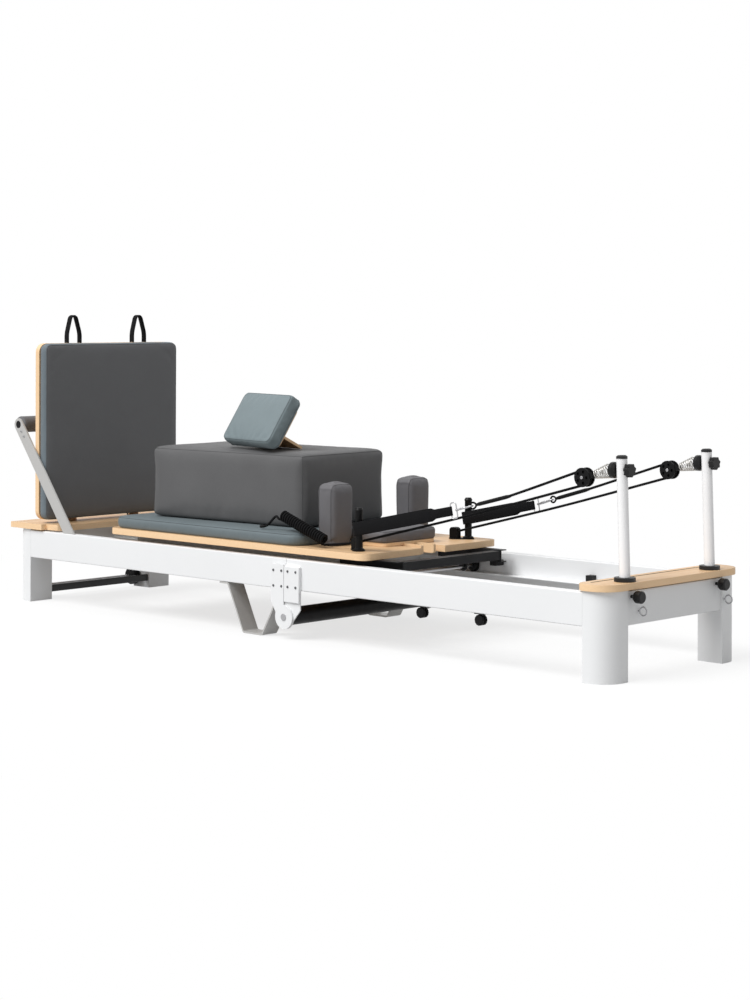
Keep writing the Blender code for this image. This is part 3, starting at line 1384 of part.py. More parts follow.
def spring_frame(y):
    """Boot face, pulley centre, and the spring's axis from the pulley to the boot."""
    reach = RISER_RADIUS + CLEARANCE + BOOT_LENGTH
    boot_face = Vector((riser_x(KNOB_Z), y, KNOB_Z)) - riser_cross() * reach
    pulley = Vector((PULLEY_X, y, PULLEY_Z))
    return boot_face, pulley, (boot_face - pulley).normalized()


def make_pulley_blocks():
    """Spoked cheeks joined by an axle and a rear yoke."""
    half = SHEAVE_HALF + SHEAVE_GAP
    outer = half + CHEEK_THICK
    inside = half + CHEEK_THICK / 2
    for side, y in zip(("near", "far"), riser_ys()):
        boot_face, pulley, axis = spring_frame(y)
        centre = (pulley.x, pulley.z)
        holes = [
            circle(point, CHEEK_HOLE_RADIUS, 6)
            for point in circle(centre, CHEEK_HOLE_CIRCLE, CHEEK_HOLES)
        ]
        cheeks = bmesh.new()
        for low, high in ((y - outer, y - half), (y + half, y + outer)):
            add_prism(cheeks, "Y", circle(centre, CHEEK_RADIUS, 20), low, high, holes)
        block = make("pulley_block_" + side, cheeks, "black_plastic", "pulley_end", smooth=True)
        joins = bmesh.new()
        reach = Vector((0, inside, 0))
        add_rod(joins, pulley - reach, pulley + reach, PULLEY_AXLE_RADIUS, 12)
        up = Vector((-axis.z, 0, axis.x))
        corners = []
        for reach, rise in ((0, -1), (1, -1), (1, 1), (0, 1)):
            corner = pulley + axis * (yoke_start() + reach * YOKE_DEPTH) + up * rise * YOKE_HEIGHT / 2
            corners.append((corner.x, corner.z))
        add_prism(joins, "Y", corners, y - inside, y + inside)
        fuse(block, joins, "pulley_block_joins_" + side)


def yoke_start():
    """Distance from the sheave's axis to the inner face of the yoke."""
    return SHEAVE_RADIUS + YOKE_GAP


def make_pulley_springs():
    """Conical springs between the boots and the pulley yokes, each one unbroken wire."""
    for side, y in zip(("near", "far"), riser_ys()):
        boot_face, pulley, axis = spring_frame(y)
        up = Vector((-axis.z, 0, axis.x))
        across = Vector((0, 1, 0))
        yoke = yoke_start() + YOKE_DEPTH + CLEARANCE
        length = (boot_face - pulley).length
        lean = axis.dot(riser_cross())
        wire = CONE_SPRING_WIRE * 2
        first = (CONE_SPRING_ENDS[0] * abs(up.dot(riser_cross())) + wire + CLEARANCE) / lean
        last = length - yoke - wire
        turns = CONE_SPRING_CURLS + 0.25
        steps = round(turns * CURL_POINTS)
        curls = []
        for step in range(steps + 1):
            share = step / steps
            angle = 2 * pi * turns * share - pi / 2
            radius = CONE_SPRING_ENDS[0] + (CONE_SPRING_ENDS[1] - CONE_SPRING_ENDS[0]) * share
            centre = boot_face - axis * (first + (last - first) * share)
            curls.append(centre + across * radius * cos(angle) + up * radius * sin(angle))
        on_boot = curls[0] + riser_cross() * ((boot_face - curls[0]).dot(riser_cross()) - CLEARANCE)
        on_yoke = curls[-1] - axis * ((curls[-1] - pulley).dot(axis) - yoke)
        route = [(point, 1.0) for point in (on_boot, *curls, on_yoke)]
        gap = least_gap(curls, CONE_SPRING_WIRE, CURLS_APART)
        print("pulley spring least gap", round(gap * 1000, 2), "mm")
        make_tube("pulley_spring_" + side, route, CONE_SPRING_WIRE, "steel", "pulley_end", 1)


def make_sheaves():
    half = SHEAVE_HALF
    groove = ROPE_RADIUS + GROOVE_PLAY
    profile = [(SHEAVE_BORE, -half), (SHEAVE_RADIUS, -half), (SHEAVE_RADIUS, -groove)]
    profile += [(SHEAVE_ROOT, -groove), (SHEAVE_ROOT, groove), (SHEAVE_RADIUS, groove)]
    profile += [(SHEAVE_RADIUS, half), (SHEAVE_BORE, half)]
    for side, y in zip(("near", "far"), riser_ys()):
        bm = bmesh.new()
        centre = (PULLEY_X, y, PULLEY_Z)
        add_turned(bm, profile, along(centre, (0, 1, 0)), 16, bored=True)
        make("sheave_" + side, bm, "black_plastic", "pulley_end", centre, smooth=True)


# Ropes and straps

def rope_side(index):
    return riser_ys()[index], bool(index)


def rope_point(side, end):
    share, inset, height = ROPE_ENDS[side][end]
    return Vector((PEG_X + (PULLEY_X - PEG_X) * share, side_y(inset, side == "far"), height))


def make_ropes():
    """Each rope runs from its cleat under the sheave, over it and back to a spliced eye."""
    wrap = SHEAVE_ROOT + ROPE_RADIUS + CLEARANCE
    spacing = ROPE_RADIUS * 6
    for index, side in enumerate(ROPE_ENDS):
        y, far = rope_side(index)
        start = Vector((CLEAT_X + CLEAT_SIZE[0] / 2 + CLEARANCE, side_y(CLEAT_Y, far), ROPE_START_Z))
        splice = rope_point(side, "splice")
        lower = atan2(PULLEY_Z - start.z, PULLEY_X - start.x) * 180 / pi
        upper = atan2(PULLEY_Z - splice.z, PULLEY_X - splice.x) * 180 / pi
        turn = [Vector((a, y, b)) for a, b in arc((PULLEY_X, PULLEY_Z), wrap, lower - 90, upper + 90, 10)]
        under = smooth_route([start, start.lerp(turn[0], 0.5) - Vector((0, 0, ROPE_SAG)), turn[0]], spacing)
        back = smooth_route([turn[-1], splice], spacing)
        eye = rope_point(side, "eye")
        heading = (splice - eye).normalized()
        up = heading.cross(Vector((0, 1, 0))) * -1
        loop_top = eye + up * EYE_RADIUS
        neck = loop_top + heading * EYE_RADIUS * 1.4
        loop = []
        for step in range(1, 10):
            angle = radians(90 + 30 * step)
            loop.append(eye + (heading * cos(angle) + up * sin(angle)) * EYE_RADIUS)
        route = [(point, 1.0) for point in under + turn[1:] + back[1:-1]]
        route += [(point, SPLICE_SWELL) for point in smooth_route([splice, neck], spacing)[:-1]]
        route += [(neck, SPLICE_NECK)]
        route += [(point, EYE_THIN) for point in (loop_top, *loop)]
        make_tube("pulley_rope_" + side, route, ROPE_RADIUS, "black_webbing", "pulley_end", 2)


def strap_frame(side):
    """Matrix with X from the strap peg to the ring, Y level and Z square to both."""
    peg = Vector((PEG_X, side_y(PEG_Y, side == "far"), STRAP_Z))
    ring = rope_point(side, "ring")
    heading = (ring - peg).normalized()
    level = Vector((0, 0, 1)).cross(heading).normalized()
    up = heading.cross(level)
    turn = Matrix((heading, level, up)).transposed().to_4x4()
    return Matrix.Translation(peg) @ turn, (ring - peg).length


def make_straps():
    """Webbing loops from the pegs, each with its D ring and the snap link to the rope's eye."""
    for side in ROPE_ENDS:
        place, length = strap_frame(side)
        inner_peg = PEG_RADIUS + STRAP_PLAY
        inner_ring = RING_WIRE * 0.8
        peg_end = (0.0, 0.0)
        ring_end = (length, 0.0)
        inner = belt(peg_end, inner_peg, ring_end, inner_ring, 7)
        outer = belt(peg_end, inner_peg + STRAP_THICK, ring_end, inner_ring + STRAP_THICK, 7)
        bm = bmesh.new()
        add_pipe(bm, "Z", outer, inner, -STRAP_HEIGHT / 2, STRAP_HEIGHT / 2, place)
        strap = make("strap_loop_" + side, bm, "black_webbing", "pulley_end", smooth=True)
        rise = STRAP_HEIGHT / 2 + RING_WIRE * 2
        outline = rounded_rectangle(length, length + RING_LENGTH, -rise, rise, RING_LENGTH / 3, 2)
        ring = bmesh.new()
        across = place.to_3x3() @ Vector((0, 1, 0))
        add_hoop(ring, [place @ Vector((a, 0, b)) for a, b in outline], across, RING_WIRE, 6)
        fuse(strap, ring, "strap_ring_" + side)
        start = place @ Vector((length + RING_LENGTH - RING_WIRE, 0, 0))
        reach = rope_point(side, "eye") - start
        heading = reach.normalized()
        level = Vector((0, 0, 1)).cross(heading).normalized()
        half = CLIP_WIDE / 2
        nose = half * 0.7
        outline = belt((half, 0), half, (reach.length - nose, 0), nose, 6)
        link = bmesh.new()
        points = [start + heading * a + level * b for a, b in outline]
        add_hoop(link, points, heading.cross(level), CLIP_WIRE, 6)
        fuse(strap, link, "snap_link_" + side)


def make_rope_hank():
    """Tail of the near rope: laid on the pad, wound in a coil, then led to its cleat."""
    run = HANK_END - HANK_START
    axis = run.normalized()
    side = Vector((0, 1, 0))
    up = axis.cross(side)
    curls = []
    steps = HANK_CURLS * CURL_POINTS
    for step in range(steps + 1):
        share = step / steps
        angle = 2 * pi * HANK_CURLS * share - pi / 2
        curls.append(HANK_START + run * share + (side * cos(angle) + up * sin(angle)) * HANK_RADIUS)
    on_pad = Vector((HANK_START.x, HANK_START.y, CARRIAGE_TOP + PAD_THICK + HANK_ROPE))
    tail = [on_pad + offset for offset in HANK_TAIL]
    tail += [curls[0] - axis * back - side * out for back, out in HANK_NECK]
    cleat = Vector((CLEAT_X - CLEAT_SIZE[0] / 2 - CLEARANCE, CLEAT_Y, ROPE_START_Z - HANK_DROP))
    lead = [curls[-1] + axis * HANK_EXIT[0] + side * HANK_EXIT[1]]
    lead += [cleat - offset for offset in HANK_LEAD]
    route = smooth_route(tail, HANK_ROPE * 4) + curls + smooth_route(lead, HANK_ROPE * 4) + [cleat]
    print("rope hank least gap", round(least_gap(curls, HANK_ROPE, CURLS_APART) * 1000, 2), "mm")
    make_tube("rope_hank", [(point, 1.0) for point in route], HANK_ROPE, "black_webbing", "carriage", 1)


# Casters and eye rings

def make_casters():
    """Twin rollers, each pair pressed on an axle that turns in its fork."""
    gap = CASTER_FORK_THICK / 2 + CLEARANCE * 2
    outer = gap + CASTER_WHEEL_WIDE
    half = [(CASTER_AXLE_RADIUS, gap), (CASTER_RADIUS, gap), (CASTER_RADIUS, outer - CASTER_EDGE)]
    half.append((CASTER_RADIUS - CASTER_EDGE, outer))
    profile = [(r, -h) for r, h in reversed(half)] + half
    for place, x in zip(("inner", "outer"), CASTER_PLACES):
        for side, far in (("near", False), ("far", True)):
            centre = (x, side_y(CASTER_INSET + CASTER_TRACK, far), CASTER_Z)
            bm = bmesh.new()
            add_turned(bm, profile, along(centre, (0, 1, 0)), 12)
            make("roller_" + place + "_" + side, bm, "rubber", "pulley_end", centre, smooth=True)


def add_bodies():
    """Root empty at the middle of the overall box, then one empty for each moving body."""
    low_x = foot_bar_top()[0] - GRIP_RADIUS
    root = bpy.data.objects.new("reformer", None)
    bpy.context.scene.collection.objects.link(root)
    root.location = (-(low_x + CLAMP_END) / 2, -MIDDLE, 0)
    bodies["reformer"] = (root, Vector((0, 0, 0)))
    add_body("foot_end", (0, 0, 0), "reformer")
    add_body("pulley_end", (FOLD_X, MIDDLE, FOLD_Z), "reformer")
    add_body("carriage", (CARRIAGE_START, MIDDLE, CARRIAGE_BOTTOM), "reformer")
    add_body("foot_bar", (FOOT_BAR_PIVOT_X, MIDDLE, FOOT_BAR_PIVOT_Z), "foot_end")
    add_body("headrest", (HEADREST_START, MIDDLE, CARRIAGE_TOP), "carriage")
    box_base = box_top() - BOX_SIZE[2]
    add_body("sitting_box_place", (*BOX_CORNER, box_base), "carriage", (0, 0, radians(BOX_TURN)))
    pillow_at = (*PILLOW_PLACE, box_top() + CLEARANCE)
    pillow = add_body("pillow", pillow_at, "carriage", (radians(PILLOW_TILT), 0, radians(PILLOW_TURN)))
    hinge = bpy.data.objects.new("pillow_prop_hinge", None)
    bpy.context.scene.collection.objects.link(hinge)
    hinge.parent = pillow
    hinge.location = prop_hinge_local()
    hinge.rotation_euler = (-radians(PILLOW_TILT + PROP_ANGLE), 0, 0)
    bodies["pillow_prop_hinge"] = (hinge, Vector((0, 0, 0)))


def build():
    clear_scene()
    add_bodies()
    make_foot_frame()
    make_foot_rails()
    make_foot_platform()
    make_foot_leaves()
    make_hinge_tube()
    make_mid_legs()
    make_transport()
    make_jump_board()
    make_jump_loops()
    make_foot_bar()
    make_pulley_frame()
    make_pulley_rails()
    make_pulley_platform()
    make_pulley_leaves()
    make_risers()
    make_knobs()
    make_pulley_blocks()
    make_pulley_springs()
    make_sheaves()
    make_ropes()
    make_straps()
    make_casters()
    make_carriage_board()
    make_carriage_pad()
    make_carriage_frame()
    make_carriage_wheels()
    make_carriage_springs()
    make_shoulder_rests()
    make_headrest()
    make_rope_posts()
    make_rope_hank()
    make_sitting_box()
    make_pillow()


build()
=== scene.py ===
"""Looks of a folding pilates reformer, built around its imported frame.

Bench coordinates run as on the bench itself: X from the foot end (0) to the pulley end, Y from
the near rail's outer face (0) to the far one's, Z up from the floor. bench() turns them into the
row frame. All sizes are in metres.
"""
from math import atan2, cos, degrees, hypot, pi, radians, sin, tan

import bmesh
import bpy
import numpy as np
from mathutils import Matrix, Vector, noise
from mathutils.bvhtree import BVHTree


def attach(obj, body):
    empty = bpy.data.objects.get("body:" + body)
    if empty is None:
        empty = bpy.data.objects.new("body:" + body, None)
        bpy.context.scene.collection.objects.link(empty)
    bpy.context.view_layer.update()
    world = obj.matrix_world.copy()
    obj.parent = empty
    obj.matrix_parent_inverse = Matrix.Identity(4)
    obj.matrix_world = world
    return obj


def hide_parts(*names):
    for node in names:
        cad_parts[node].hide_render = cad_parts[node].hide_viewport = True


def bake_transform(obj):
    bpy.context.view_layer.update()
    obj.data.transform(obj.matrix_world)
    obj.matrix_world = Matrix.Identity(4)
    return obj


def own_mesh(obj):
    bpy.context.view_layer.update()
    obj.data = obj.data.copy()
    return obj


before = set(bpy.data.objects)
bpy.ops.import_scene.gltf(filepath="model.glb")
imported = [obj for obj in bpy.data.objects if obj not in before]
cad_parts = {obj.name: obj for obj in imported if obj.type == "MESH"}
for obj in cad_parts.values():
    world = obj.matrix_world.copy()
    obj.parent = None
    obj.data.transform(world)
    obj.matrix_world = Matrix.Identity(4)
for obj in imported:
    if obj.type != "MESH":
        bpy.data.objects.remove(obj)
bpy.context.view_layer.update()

scene = bpy.context.scene

# Places and sizes of the frame, in bench coordinates
SIDES = ("near", "far")
WIDTH = 0.58
MIDDLE = WIDTH / 2
LENGTH = 2.36
CLEARANCE = 0.0003
FOOT_BAR_PIVOT = (0.296, 0.180)
FOOT_BAR_REACH = 0.474
FOOT_BAR_LEAN = radians(37.5)
GRIP_RADIUS = 0.026
CLAMP_END = LENGTH + 0.030
PLATFORM_TOP = 0.2477
CARRIAGE_TOP = 0.260
PAD_BASE = CARRIAGE_TOP + CLEARANCE
PAD_THICK = 0.040
PEG = (1.455, 0.060)
PEG_RADIUS = 0.0105
CLEAT = (1.425, 0.084)
CLEAT_LENGTH = 0.030
ROPE_START_Z = 0.284
RISER_X = LENGTH - 0.026
RISER_Y = 0.1065
RISER_RADIUS = 0.014
RISER_LEAN = radians(2.0)
KNOB_Z = 0.526
PULLEY_X = RISER_X - 0.129
PULLEY_Z = 0.502

grip_x = FOOT_BAR_PIVOT[0] - FOOT_BAR_REACH * sin(FOOT_BAR_LEAN)
grip_z = FOOT_BAR_PIVOT[1] + FOOT_BAR_REACH * cos(FOOT_BAR_LEAN)
bench_x = (grip_x - GRIP_RADIUS + CLAMP_END) / 2


def bench(x, y, z):
    return Vector((x - bench_x, y - MIDDLE, z))


def side_y(inset, side):
    return WIDTH - inset if side == "far" else inset


def put(target, **settings):
    for name, value in settings.items():
        setattr(target, name, value)
    return target


def new_object(name, data, place=None):
    piece = bpy.data.objects.new(name, data)
    scene.collection.objects.link(piece)
    if place is not None:
        piece.matrix_world = place
    return piece


def axes(origin, *directions):
    """Matrix with three square directions as its axes."""
    return Matrix.Translation(origin) @ Matrix(directions).transposed().to_4x4()


# Camera at the photograph's viewpoint

CAMERA_PLACE = (4.580765, -4.738068, 0.939665)
CAMERA_TURN = radians(43.3300621)
CAMERA_ROLL = radians(0.15020318)
CAMERA_LENS = 81.3867
CAMERA_SENSOR = 36.0
CAMERA_SHIFT = -0.19515
CAMERA_REACH = 100.0


def add_camera():
    data = put(bpy.data.cameras.new("camera"), sensor_fit="AUTO", sensor_width=CAMERA_SENSOR,
               lens=CAMERA_LENS, shift_y=CAMERA_SHIFT, clip_end=CAMERA_REACH)
    level = Vector((cos(CAMERA_TURN), sin(CAMERA_TURN), 0))
    right = level * cos(CAMERA_ROLL) + Vector((0, 0, sin(CAMERA_ROLL)))
    up = Vector((0, 0, cos(CAMERA_ROLL))) - level * sin(CAMERA_ROLL)
    back = Vector((sin(CAMERA_TURN), -cos(CAMERA_TURN), 0))
    scene.camera = new_object("camera", data, axes(CAMERA_PLACE, right, up, back))


add_camera()


# Materials

def tone(red, green, blue):
    """Colour written as it looks on a screen, from 0 to 255, turned into a linear one."""
    shares = [value / 255 for value in (red, green, blue)]
    return tuple(s / 12.92 if s <= 0.04045 else ((s + 0.055) / 1.055) ** 2.4 for s in shares)


def times(colour, factor, lift=0.0):
    return tuple(value * factor + lift for value in colour)


class Nodes:
    """A node tree being wired up, with short calls for the nodes it uses."""

    def __init__(self, tree):
        self.tree = tree

    def add(self, kind, inputs=None, **settings):
        node = put(self.tree.nodes.new(kind), **settings)
        for key, value in (inputs or {}).items():
            self.feed(node.inputs[key], value)
        return node

    def feed(self, socket, value):
        if isinstance(value, bpy.types.NodeSocket):
            self.tree.links.new(value, socket)
        else:
            socket.default_value = value

    def math(self, operation, first, second=0.0, third=0.0):
        inputs = {0: first, 1: second, 2: third}
        return self.add("ShaderNodeMath", inputs, operation=operation).outputs[0]

    def both(self, first, second):
        return self.math("MULTIPLY", first, second)

    def either(self, first, second):
        return self.math("MAXIMUM", first, second)

    def spread(self, source, low, high, start=0.0, end=1.0, **settings):
        """Value from start to end turned into low to high."""
        inputs = {0: source, 1: start, 2: end, 3: low, 4: high}
        return self.add("ShaderNodeMapRange", inputs, **settings).outputs[0]

    def seen_directly(self):
        """1 for rays that show the backdrop itself: from the camera, a mirror or through glass."""
        rays = self.add("ShaderNodeLightPath").outputs
        shown = self.either(rays["Is Camera Ray"], rays["Is Glossy Ray"])
        return self.either(shown, rays["Is Transmission Ray"])


class Finish(Nodes):
    """A material whose detail follows the coordinates of the piece."""

    def __init__(self, name, metallic=0.0, specular=0.5, sheen=0.0, coat=0.0):
        self.material = bpy.data.materials.new(name)
        self.material.use_nodes = True
        super().__init__(self.material.node_tree)
        self.shader = self.tree.nodes["Principled BSDF"]
        plain = {"Metallic": metallic, "Specular IOR Level": specular, "Sheen Weight": sheen,
                 "Sheen Roughness": 0.5, "Coat Weight": coat, "Coat Roughness": 0.25}
        for socket, value in plain.items():
            self.shader.inputs[socket].default_value = value
        coordinates = self.add("ShaderNodeTexCoord").outputs
        self.place = coordinates["Object"]
        self.normal = coordinates["Normal"]
        self.bumped = None

    def axis(self, name, source=None):
        return self.add("ShaderNodeSeparateXYZ", {0: source or self.place}).outputs[name]

    def mapped(self, source, rotation=(0.0, 0.0, 0.0), scale=(1.0, 1.0, 1.0)):
        inputs = {"Vector": source, "Rotation": rotation, "Scale": scale}
        return self.add("ShaderNodeMapping", inputs).outputs[0]

    def noise(self, scale, detail=3.0, place=None, roughness=0.5, distortion=0.0):
        inputs = {"Vector": place or self.place, "Scale": scale, "Detail": detail}
        inputs.update({"Roughness": roughness, "Distortion": distortion})
        return self.add("ShaderNodeTexNoise", inputs).outputs[0]

    def cells(self, scale):
        return self.add("ShaderNodeTexVoronoi", {"Vector": self.place, "Scale": scale}).outputs[0]

    def wave(self, scale, direction, place, distortion):
        inputs = {"Vector": place, "Scale": scale, "Distortion": distortion, "Detail": 2.0}
        return self.add("ShaderNodeTexWave", inputs, bands_direction=direction).outputs[1]

    def blend(self, share, first, second):
        """Second colour over the first by a share, or by a tuple of what spread() takes."""
        inputs = {0: self.spread(*share) if isinstance(share, tuple) else share}
        for key, end in ((6, first), (7, second)):
            inputs[key] = (*end, 1.0) if isinstance(end, tuple) else end
        return self.add("ShaderNodeMix", inputs, data_type="RGBA").outputs[2]

    def within(self, axis, low, high):
        """1 where a coordinate lies between two values, else 0."""
        return self.math("COMPARE", self.axis(axis), (low + high) / 2, (high - low) / 2)

    def off_middle(self, distance, reach=None):
        """1 beyond a distance from the bench's middle plane, or within reach of that distance."""
        away = self.math("ABSOLUTE", self.axis("Y"))
        if reach is None:
            return self.math("GREATER_THAN", away, distance)
        return self.math("COMPARE", away, distance, reach)

    def colour(self, share, first, second):
        self.feed(self.shader.inputs["Base Color"], self.blend(share, first, second))

    def roughness(self, source, low, high, start=0.3, end=0.7):
        rough = self.spread(source, low, high, start, end)
        self.feed(self.shader.inputs["Roughness"], rough)

    def bump(self, height, depth, strength):
        inputs = {"Height": height, "Distance": depth, "Strength": strength}
        if self.bumped:
            inputs["Normal"] = self.bumped
        self.bumped = self.add("ShaderNodeBump", inputs).outputs[0]
        self.feed(self.shader.inputs["Normal"], self.bumped)

    def patch(self, mask, colour, roughness, metallic=0.0):
        """Other finish where the mask is 1."""
        under = self.shader.inputs["Base Color"].links[0].from_socket
        self.colour(mask, under, colour)
        for name, value in (("Roughness", roughness), ("Metallic", metallic)):
            socket = self.shader.inputs[name]
            under = socket.links[0].from_socket if socket.is_linked else socket.default_value
            inputs = {0: mask, 2: under, 3: value}
            self.feed(socket, self.add("ShaderNodeMix", inputs, data_type="FLOAT").outputs[0])
        return self


def painted(name, colour, roughness=0.36, metallic=0.0, specular=0.4, soil=0.05):
    """Powder coat: fine orange peel, faint clouding, and a little soil down at the floor."""
    finish = Finish(name, metallic, specular)
    cloud = finish.spread(finish.noise(3.5, 4.0), 0.0, 0.05, 0.35, 0.65)
    low = finish.spread(finish.axis("Z"), soil, 0.0, 0.0, 0.05)
    scuffs = finish.spread(finish.noise(160.0, 6.0), 0.0, 1.0, 0.45, 0.75)
    share = finish.math("ADD", cloud, finish.both(low, scuffs))
    finish.colour(share, colour, times(colour, 0.6))
    finish.roughness(finish.noise(45.0, 5.0), roughness - 0.06, roughness + 0.08)
    finish.bump(finish.noise(850.0, 2.0), 0.00012, 0.35)
    return finish


BIRCH = (tone(226, 192, 152), tone(205, 164, 118))
BROWN = (tone(214, 176, 132), tone(188, 142, 96))
PLY_LAYER = 0.0029


def plywood(name, turn=(0.0, 0.0, 0.0), light=BIRCH[0], dark=BIRCH[1]):
    """Lacquered ply: grain along the turned X on the faces, plies across the turned Z."""
    finish = Finish(name, specular=0.4, coat=0.12)
    place = finish.mapped(finish.place, turn)
    normal = finish.mapped(finish.normal, turn)
    grain, fine, rings = (finish.mapped(place, scale=(lengthways, across, across))
                          for lengthways, across in ((2.2, 34.0), (4.0, 190.0), (1.2, 9.0)))
    grain = finish.noise(1.6, 6.0, grain, 0.62, 0.7)
    fine = finish.noise(5.0, 5.0, fine, 0.7)
    rings = finish.wave(0.7, "Y", rings, 5.0)
    share = finish.spread(grain, 0.0, 0.75, 0.36, 0.66)
    share = finish.math("ADD", share, finish.spread(rings, 0.0, 0.22))
    face = finish.blend(share, light, dark)
    face = finish.blend((fine, 0.0, 0.35, 0.45, 0.75), face, times(dark, 0.72))
    layer = finish.math("FRACT", finish.both(finish.axis("Z", place), 1 / PLY_LAYER))
    stripe = finish.math("COMPARE", layer, 0.5, 0.26)
    glue = finish.math("COMPARE", layer, 0.0, 0.05)
    edge = finish.blend((stripe, 0.1, 0.75), tone(253, 220, 179), tone(240, 200, 154))
    edge = finish.blend(finish.both(glue, 0.45), edge, tone(196, 150, 104))
    edge = finish.blend((finish.noise(420.0, 4.0), 0.0, 0.2, 0.4, 0.7), edge, dark)
    on_edge = finish.math("LESS_THAN", finish.math("ABSOLUTE", finish.axis("Z", normal)), 0.6)
    finish.colour(on_edge, face, edge)
    finish.roughness(grain, 0.42, 0.56)
    finish.bump(finish.math("ADD", fine, finish.both(on_edge, stripe)), 0.00010, 0.5)
    return finish


def vinyl(name, colour, side_colour=None):
    """Upholstery vinyl: pebbled leather grain, soft creases, and a faint uneven sheen."""
    finish = Finish(name, specular=0.28, sheen=0.06)
    grain = finish.cells(780.0)
    pores = finish.noise(1500.0, 3.0)
    cloud = finish.noise(9.0, 4.0)
    under = colour
    if side_colour:
        front = finish.math("GREATER_THAN", finish.axis("Z", finish.normal), 0.62)
        under = finish.blend(front, side_colour, colour)
    deep = finish.blend(0.30, under, (0.0, 0.0, 0.0))
    pale = finish.blend(0.05, under, (0.9, 0.92, 0.95))
    body = finish.blend((cloud, 0.0, 1.0, 0.25, 0.75), deep, pale)
    body = finish.blend(0.72, body, under)
    finish.colour((grain, 0.0, 0.28, 0.25, 0.75), body, deep)
    finish.roughness(finish.math("ADD", cloud, pores), 0.50, 0.68, 0.7, 1.3)
    finish.bump(finish.noise(26.0, 4.0, roughness=0.55), 0.0016, 0.28)
    finish.bump(finish.math("SUBTRACT", 1.0, grain), 0.00030, 0.55)
    finish.bump(pores, 0.00008, 0.5)
    return finish


RIB_PITCH = 0.0022


def webbing(name, turn=(0.0, 0.0, 0.0)):
    """Woven nylon strap: diagonal ribs crossed by a finer weft, with fuzz."""
    finish = Finish(name, specular=0.08, sheen=0.03)
    place = finish.mapped(finish.place, turn)
    diagonal = finish.mapped(place, (0, radians(35), 0))
    ribs = finish.wave(0.2 / RIB_PITCH, "X", diagonal, 0.4)
    weft = finish.wave(0.55 / RIB_PITCH, "Z", place, 0.5)
    height = finish.math("ADD", finish.both(ribs, 0.7), finish.both(weft, 0.3))
    fuzz = finish.noise(1900.0, 3.0)
    share = finish.math("ADD", height, finish.both(fuzz, 0.5))
    finish.colour((share, 0.0, 1.0, 0.3, 1.2), tone(5, 5, 6), tone(27, 27, 29))
    finish.roughness(fuzz, 0.70, 0.90)
    finish.bump(height, 0.00045, 0.8)
    finish.bump(fuzz, 0.00010, 0.4)
    return finish


def cordage(name):
    """Sheath of a braided rope; its strands are in the mesh and the yarns in here."""
    finish = Finish(name, specular=0.08, sheen=0.03)
    yarn = finish.noise(1300.0, 4.0)
    tint = finish.blend((finish.noise(30.0, 3.0), 0.0, 0.6, 0.3, 0.7), tone(7, 7, 8),
                        tone(15, 15, 16))
    finish.colour((yarn, 0.0, 0.5, 0.45, 0.8), tint, tone(42, 42, 44))
    finish.roughness(yarn, 0.62, 0.85)
    finish.bump(yarn, 0.00025, 0.6)
    return finish


def moulded(name, level=13, roughness=0.42, specular=0.13, grain=0.4):
    """Moulded plastic or rubber: spark-eroded texture, rubbed smoother in places."""
    finish = Finish(name, specular=specular)
    colour = tone(level, level, level + 1)
    rubbed = finish.noise(38.0, 4.0)
    finish.colour((rubbed, 0.0, 0.4, 0.35, 0.7), colour, times(colour, 1.7, 0.002))
    finish.roughness(rubbed, roughness + 0.07, roughness - 0.08)
    finish.bump(finish.noise(1150.0, 3.0), 0.00016, grain)
    return finish


def steel(name, colour, roughness=0.24):
    """Plated steel with fine draw lines and slight dulling."""
    finish = Finish(name, metallic=1.0)
    lines = finish.noise(60.0, 4.0, finish.mapped(finish.place, scale=(1.0, 14.0, 14.0)))
    finish.colour((finish.noise(70.0, 4.0), 0.0, 0.5, 0.4, 0.75), colour, times(colour, 0.55))
    finish.roughness(lines, roughness - 0.05, roughness + 0.14)
    finish.bump(lines, 0.00005, 0.3)
    return finish


def foam(name, colour):
    """Closed-cell foam tube: small pits and a dusty speckle."""
    finish = Finish(name, specular=0.12, sheen=0.12)
    pits = finish.cells(620.0)
    speckle = finish.noise(1400.0, 2.0)
    shade = finish.math("ADD", finish.both(pits, 0.6), finish.both(speckle, 0.5))
    finish.colour((shade, 0.0, 1.0, 0.25, 0.85), colour, times(colour, 0.62))
    finish.roughness(speckle, 0.82, 0.96)
    finish.bump(pits, 0.00040, 0.6)
    finish.bump(speckle, 0.00015, 0.5)
    return finish


# Each look is a finish and the record's material slot that it belongs to
ROPE = (cordage("braided_rope"), "black_webbing")
STRAP = (webbing("strap_webbing"), "black_webbing")
SLEEVE = (moulded("rope_sleeve", 12, 0.55), "black_webbing")
FITTING = (steel("plated_steel", tone(182, 182, 184)), "steel")
SPRING = (steel("spring_wire", tone(196, 194, 190), 0.30), "steel")
# The hinge screws get a darker steel: painted shade, standing in for the dark of their socket
# recesses.
SCREW = (steel("dark_screws", tone(112, 112, 114), 0.34), "steel")
PLUG = (moulded("black_plastic"), "black_plastic")
# Finish of a black strip that is painted shade: it stands in for a gap's shade on the pulley
# platform.
GAP_SHADE_LOOK = (moulded("gap_shade_black", 16, 0.62, 0.10, 0.7), "rubber")


# Shapes

SHARP = radians(35)
STRAP_LIP = 0.45
STRAP_FLAT = 0.22


def from_bmesh(name, bm, look, body, place=None, sharp=False):
    """New piece of a mesh given in the row frame, or in the axes of a place."""
    bmesh.ops.recalc_face_normals(bm, faces=bm.faces)
    mesh = bpy.data.meshes.new(name)
    bm.to_mesh(mesh)
    bm.free()
    mesh.shade_smooth()
    if sharp:
        mesh.set_sharp_from_angle(angle=SHARP)
    mesh.materials.append(look[0].material)
    piece = new_object(name, mesh, place)
    if body:
        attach(piece, body)
    return piece


def arc(centre, radius, start, end, steps):
    """Points on an arc with both its ends; the angles are in degrees."""
    angles = [radians(start + (end - start) * step / steps) for step in range(steps + 1)]
    return [(centre[0] + radius * cos(angle), centre[1] + radius * sin(angle)) for angle in angles]


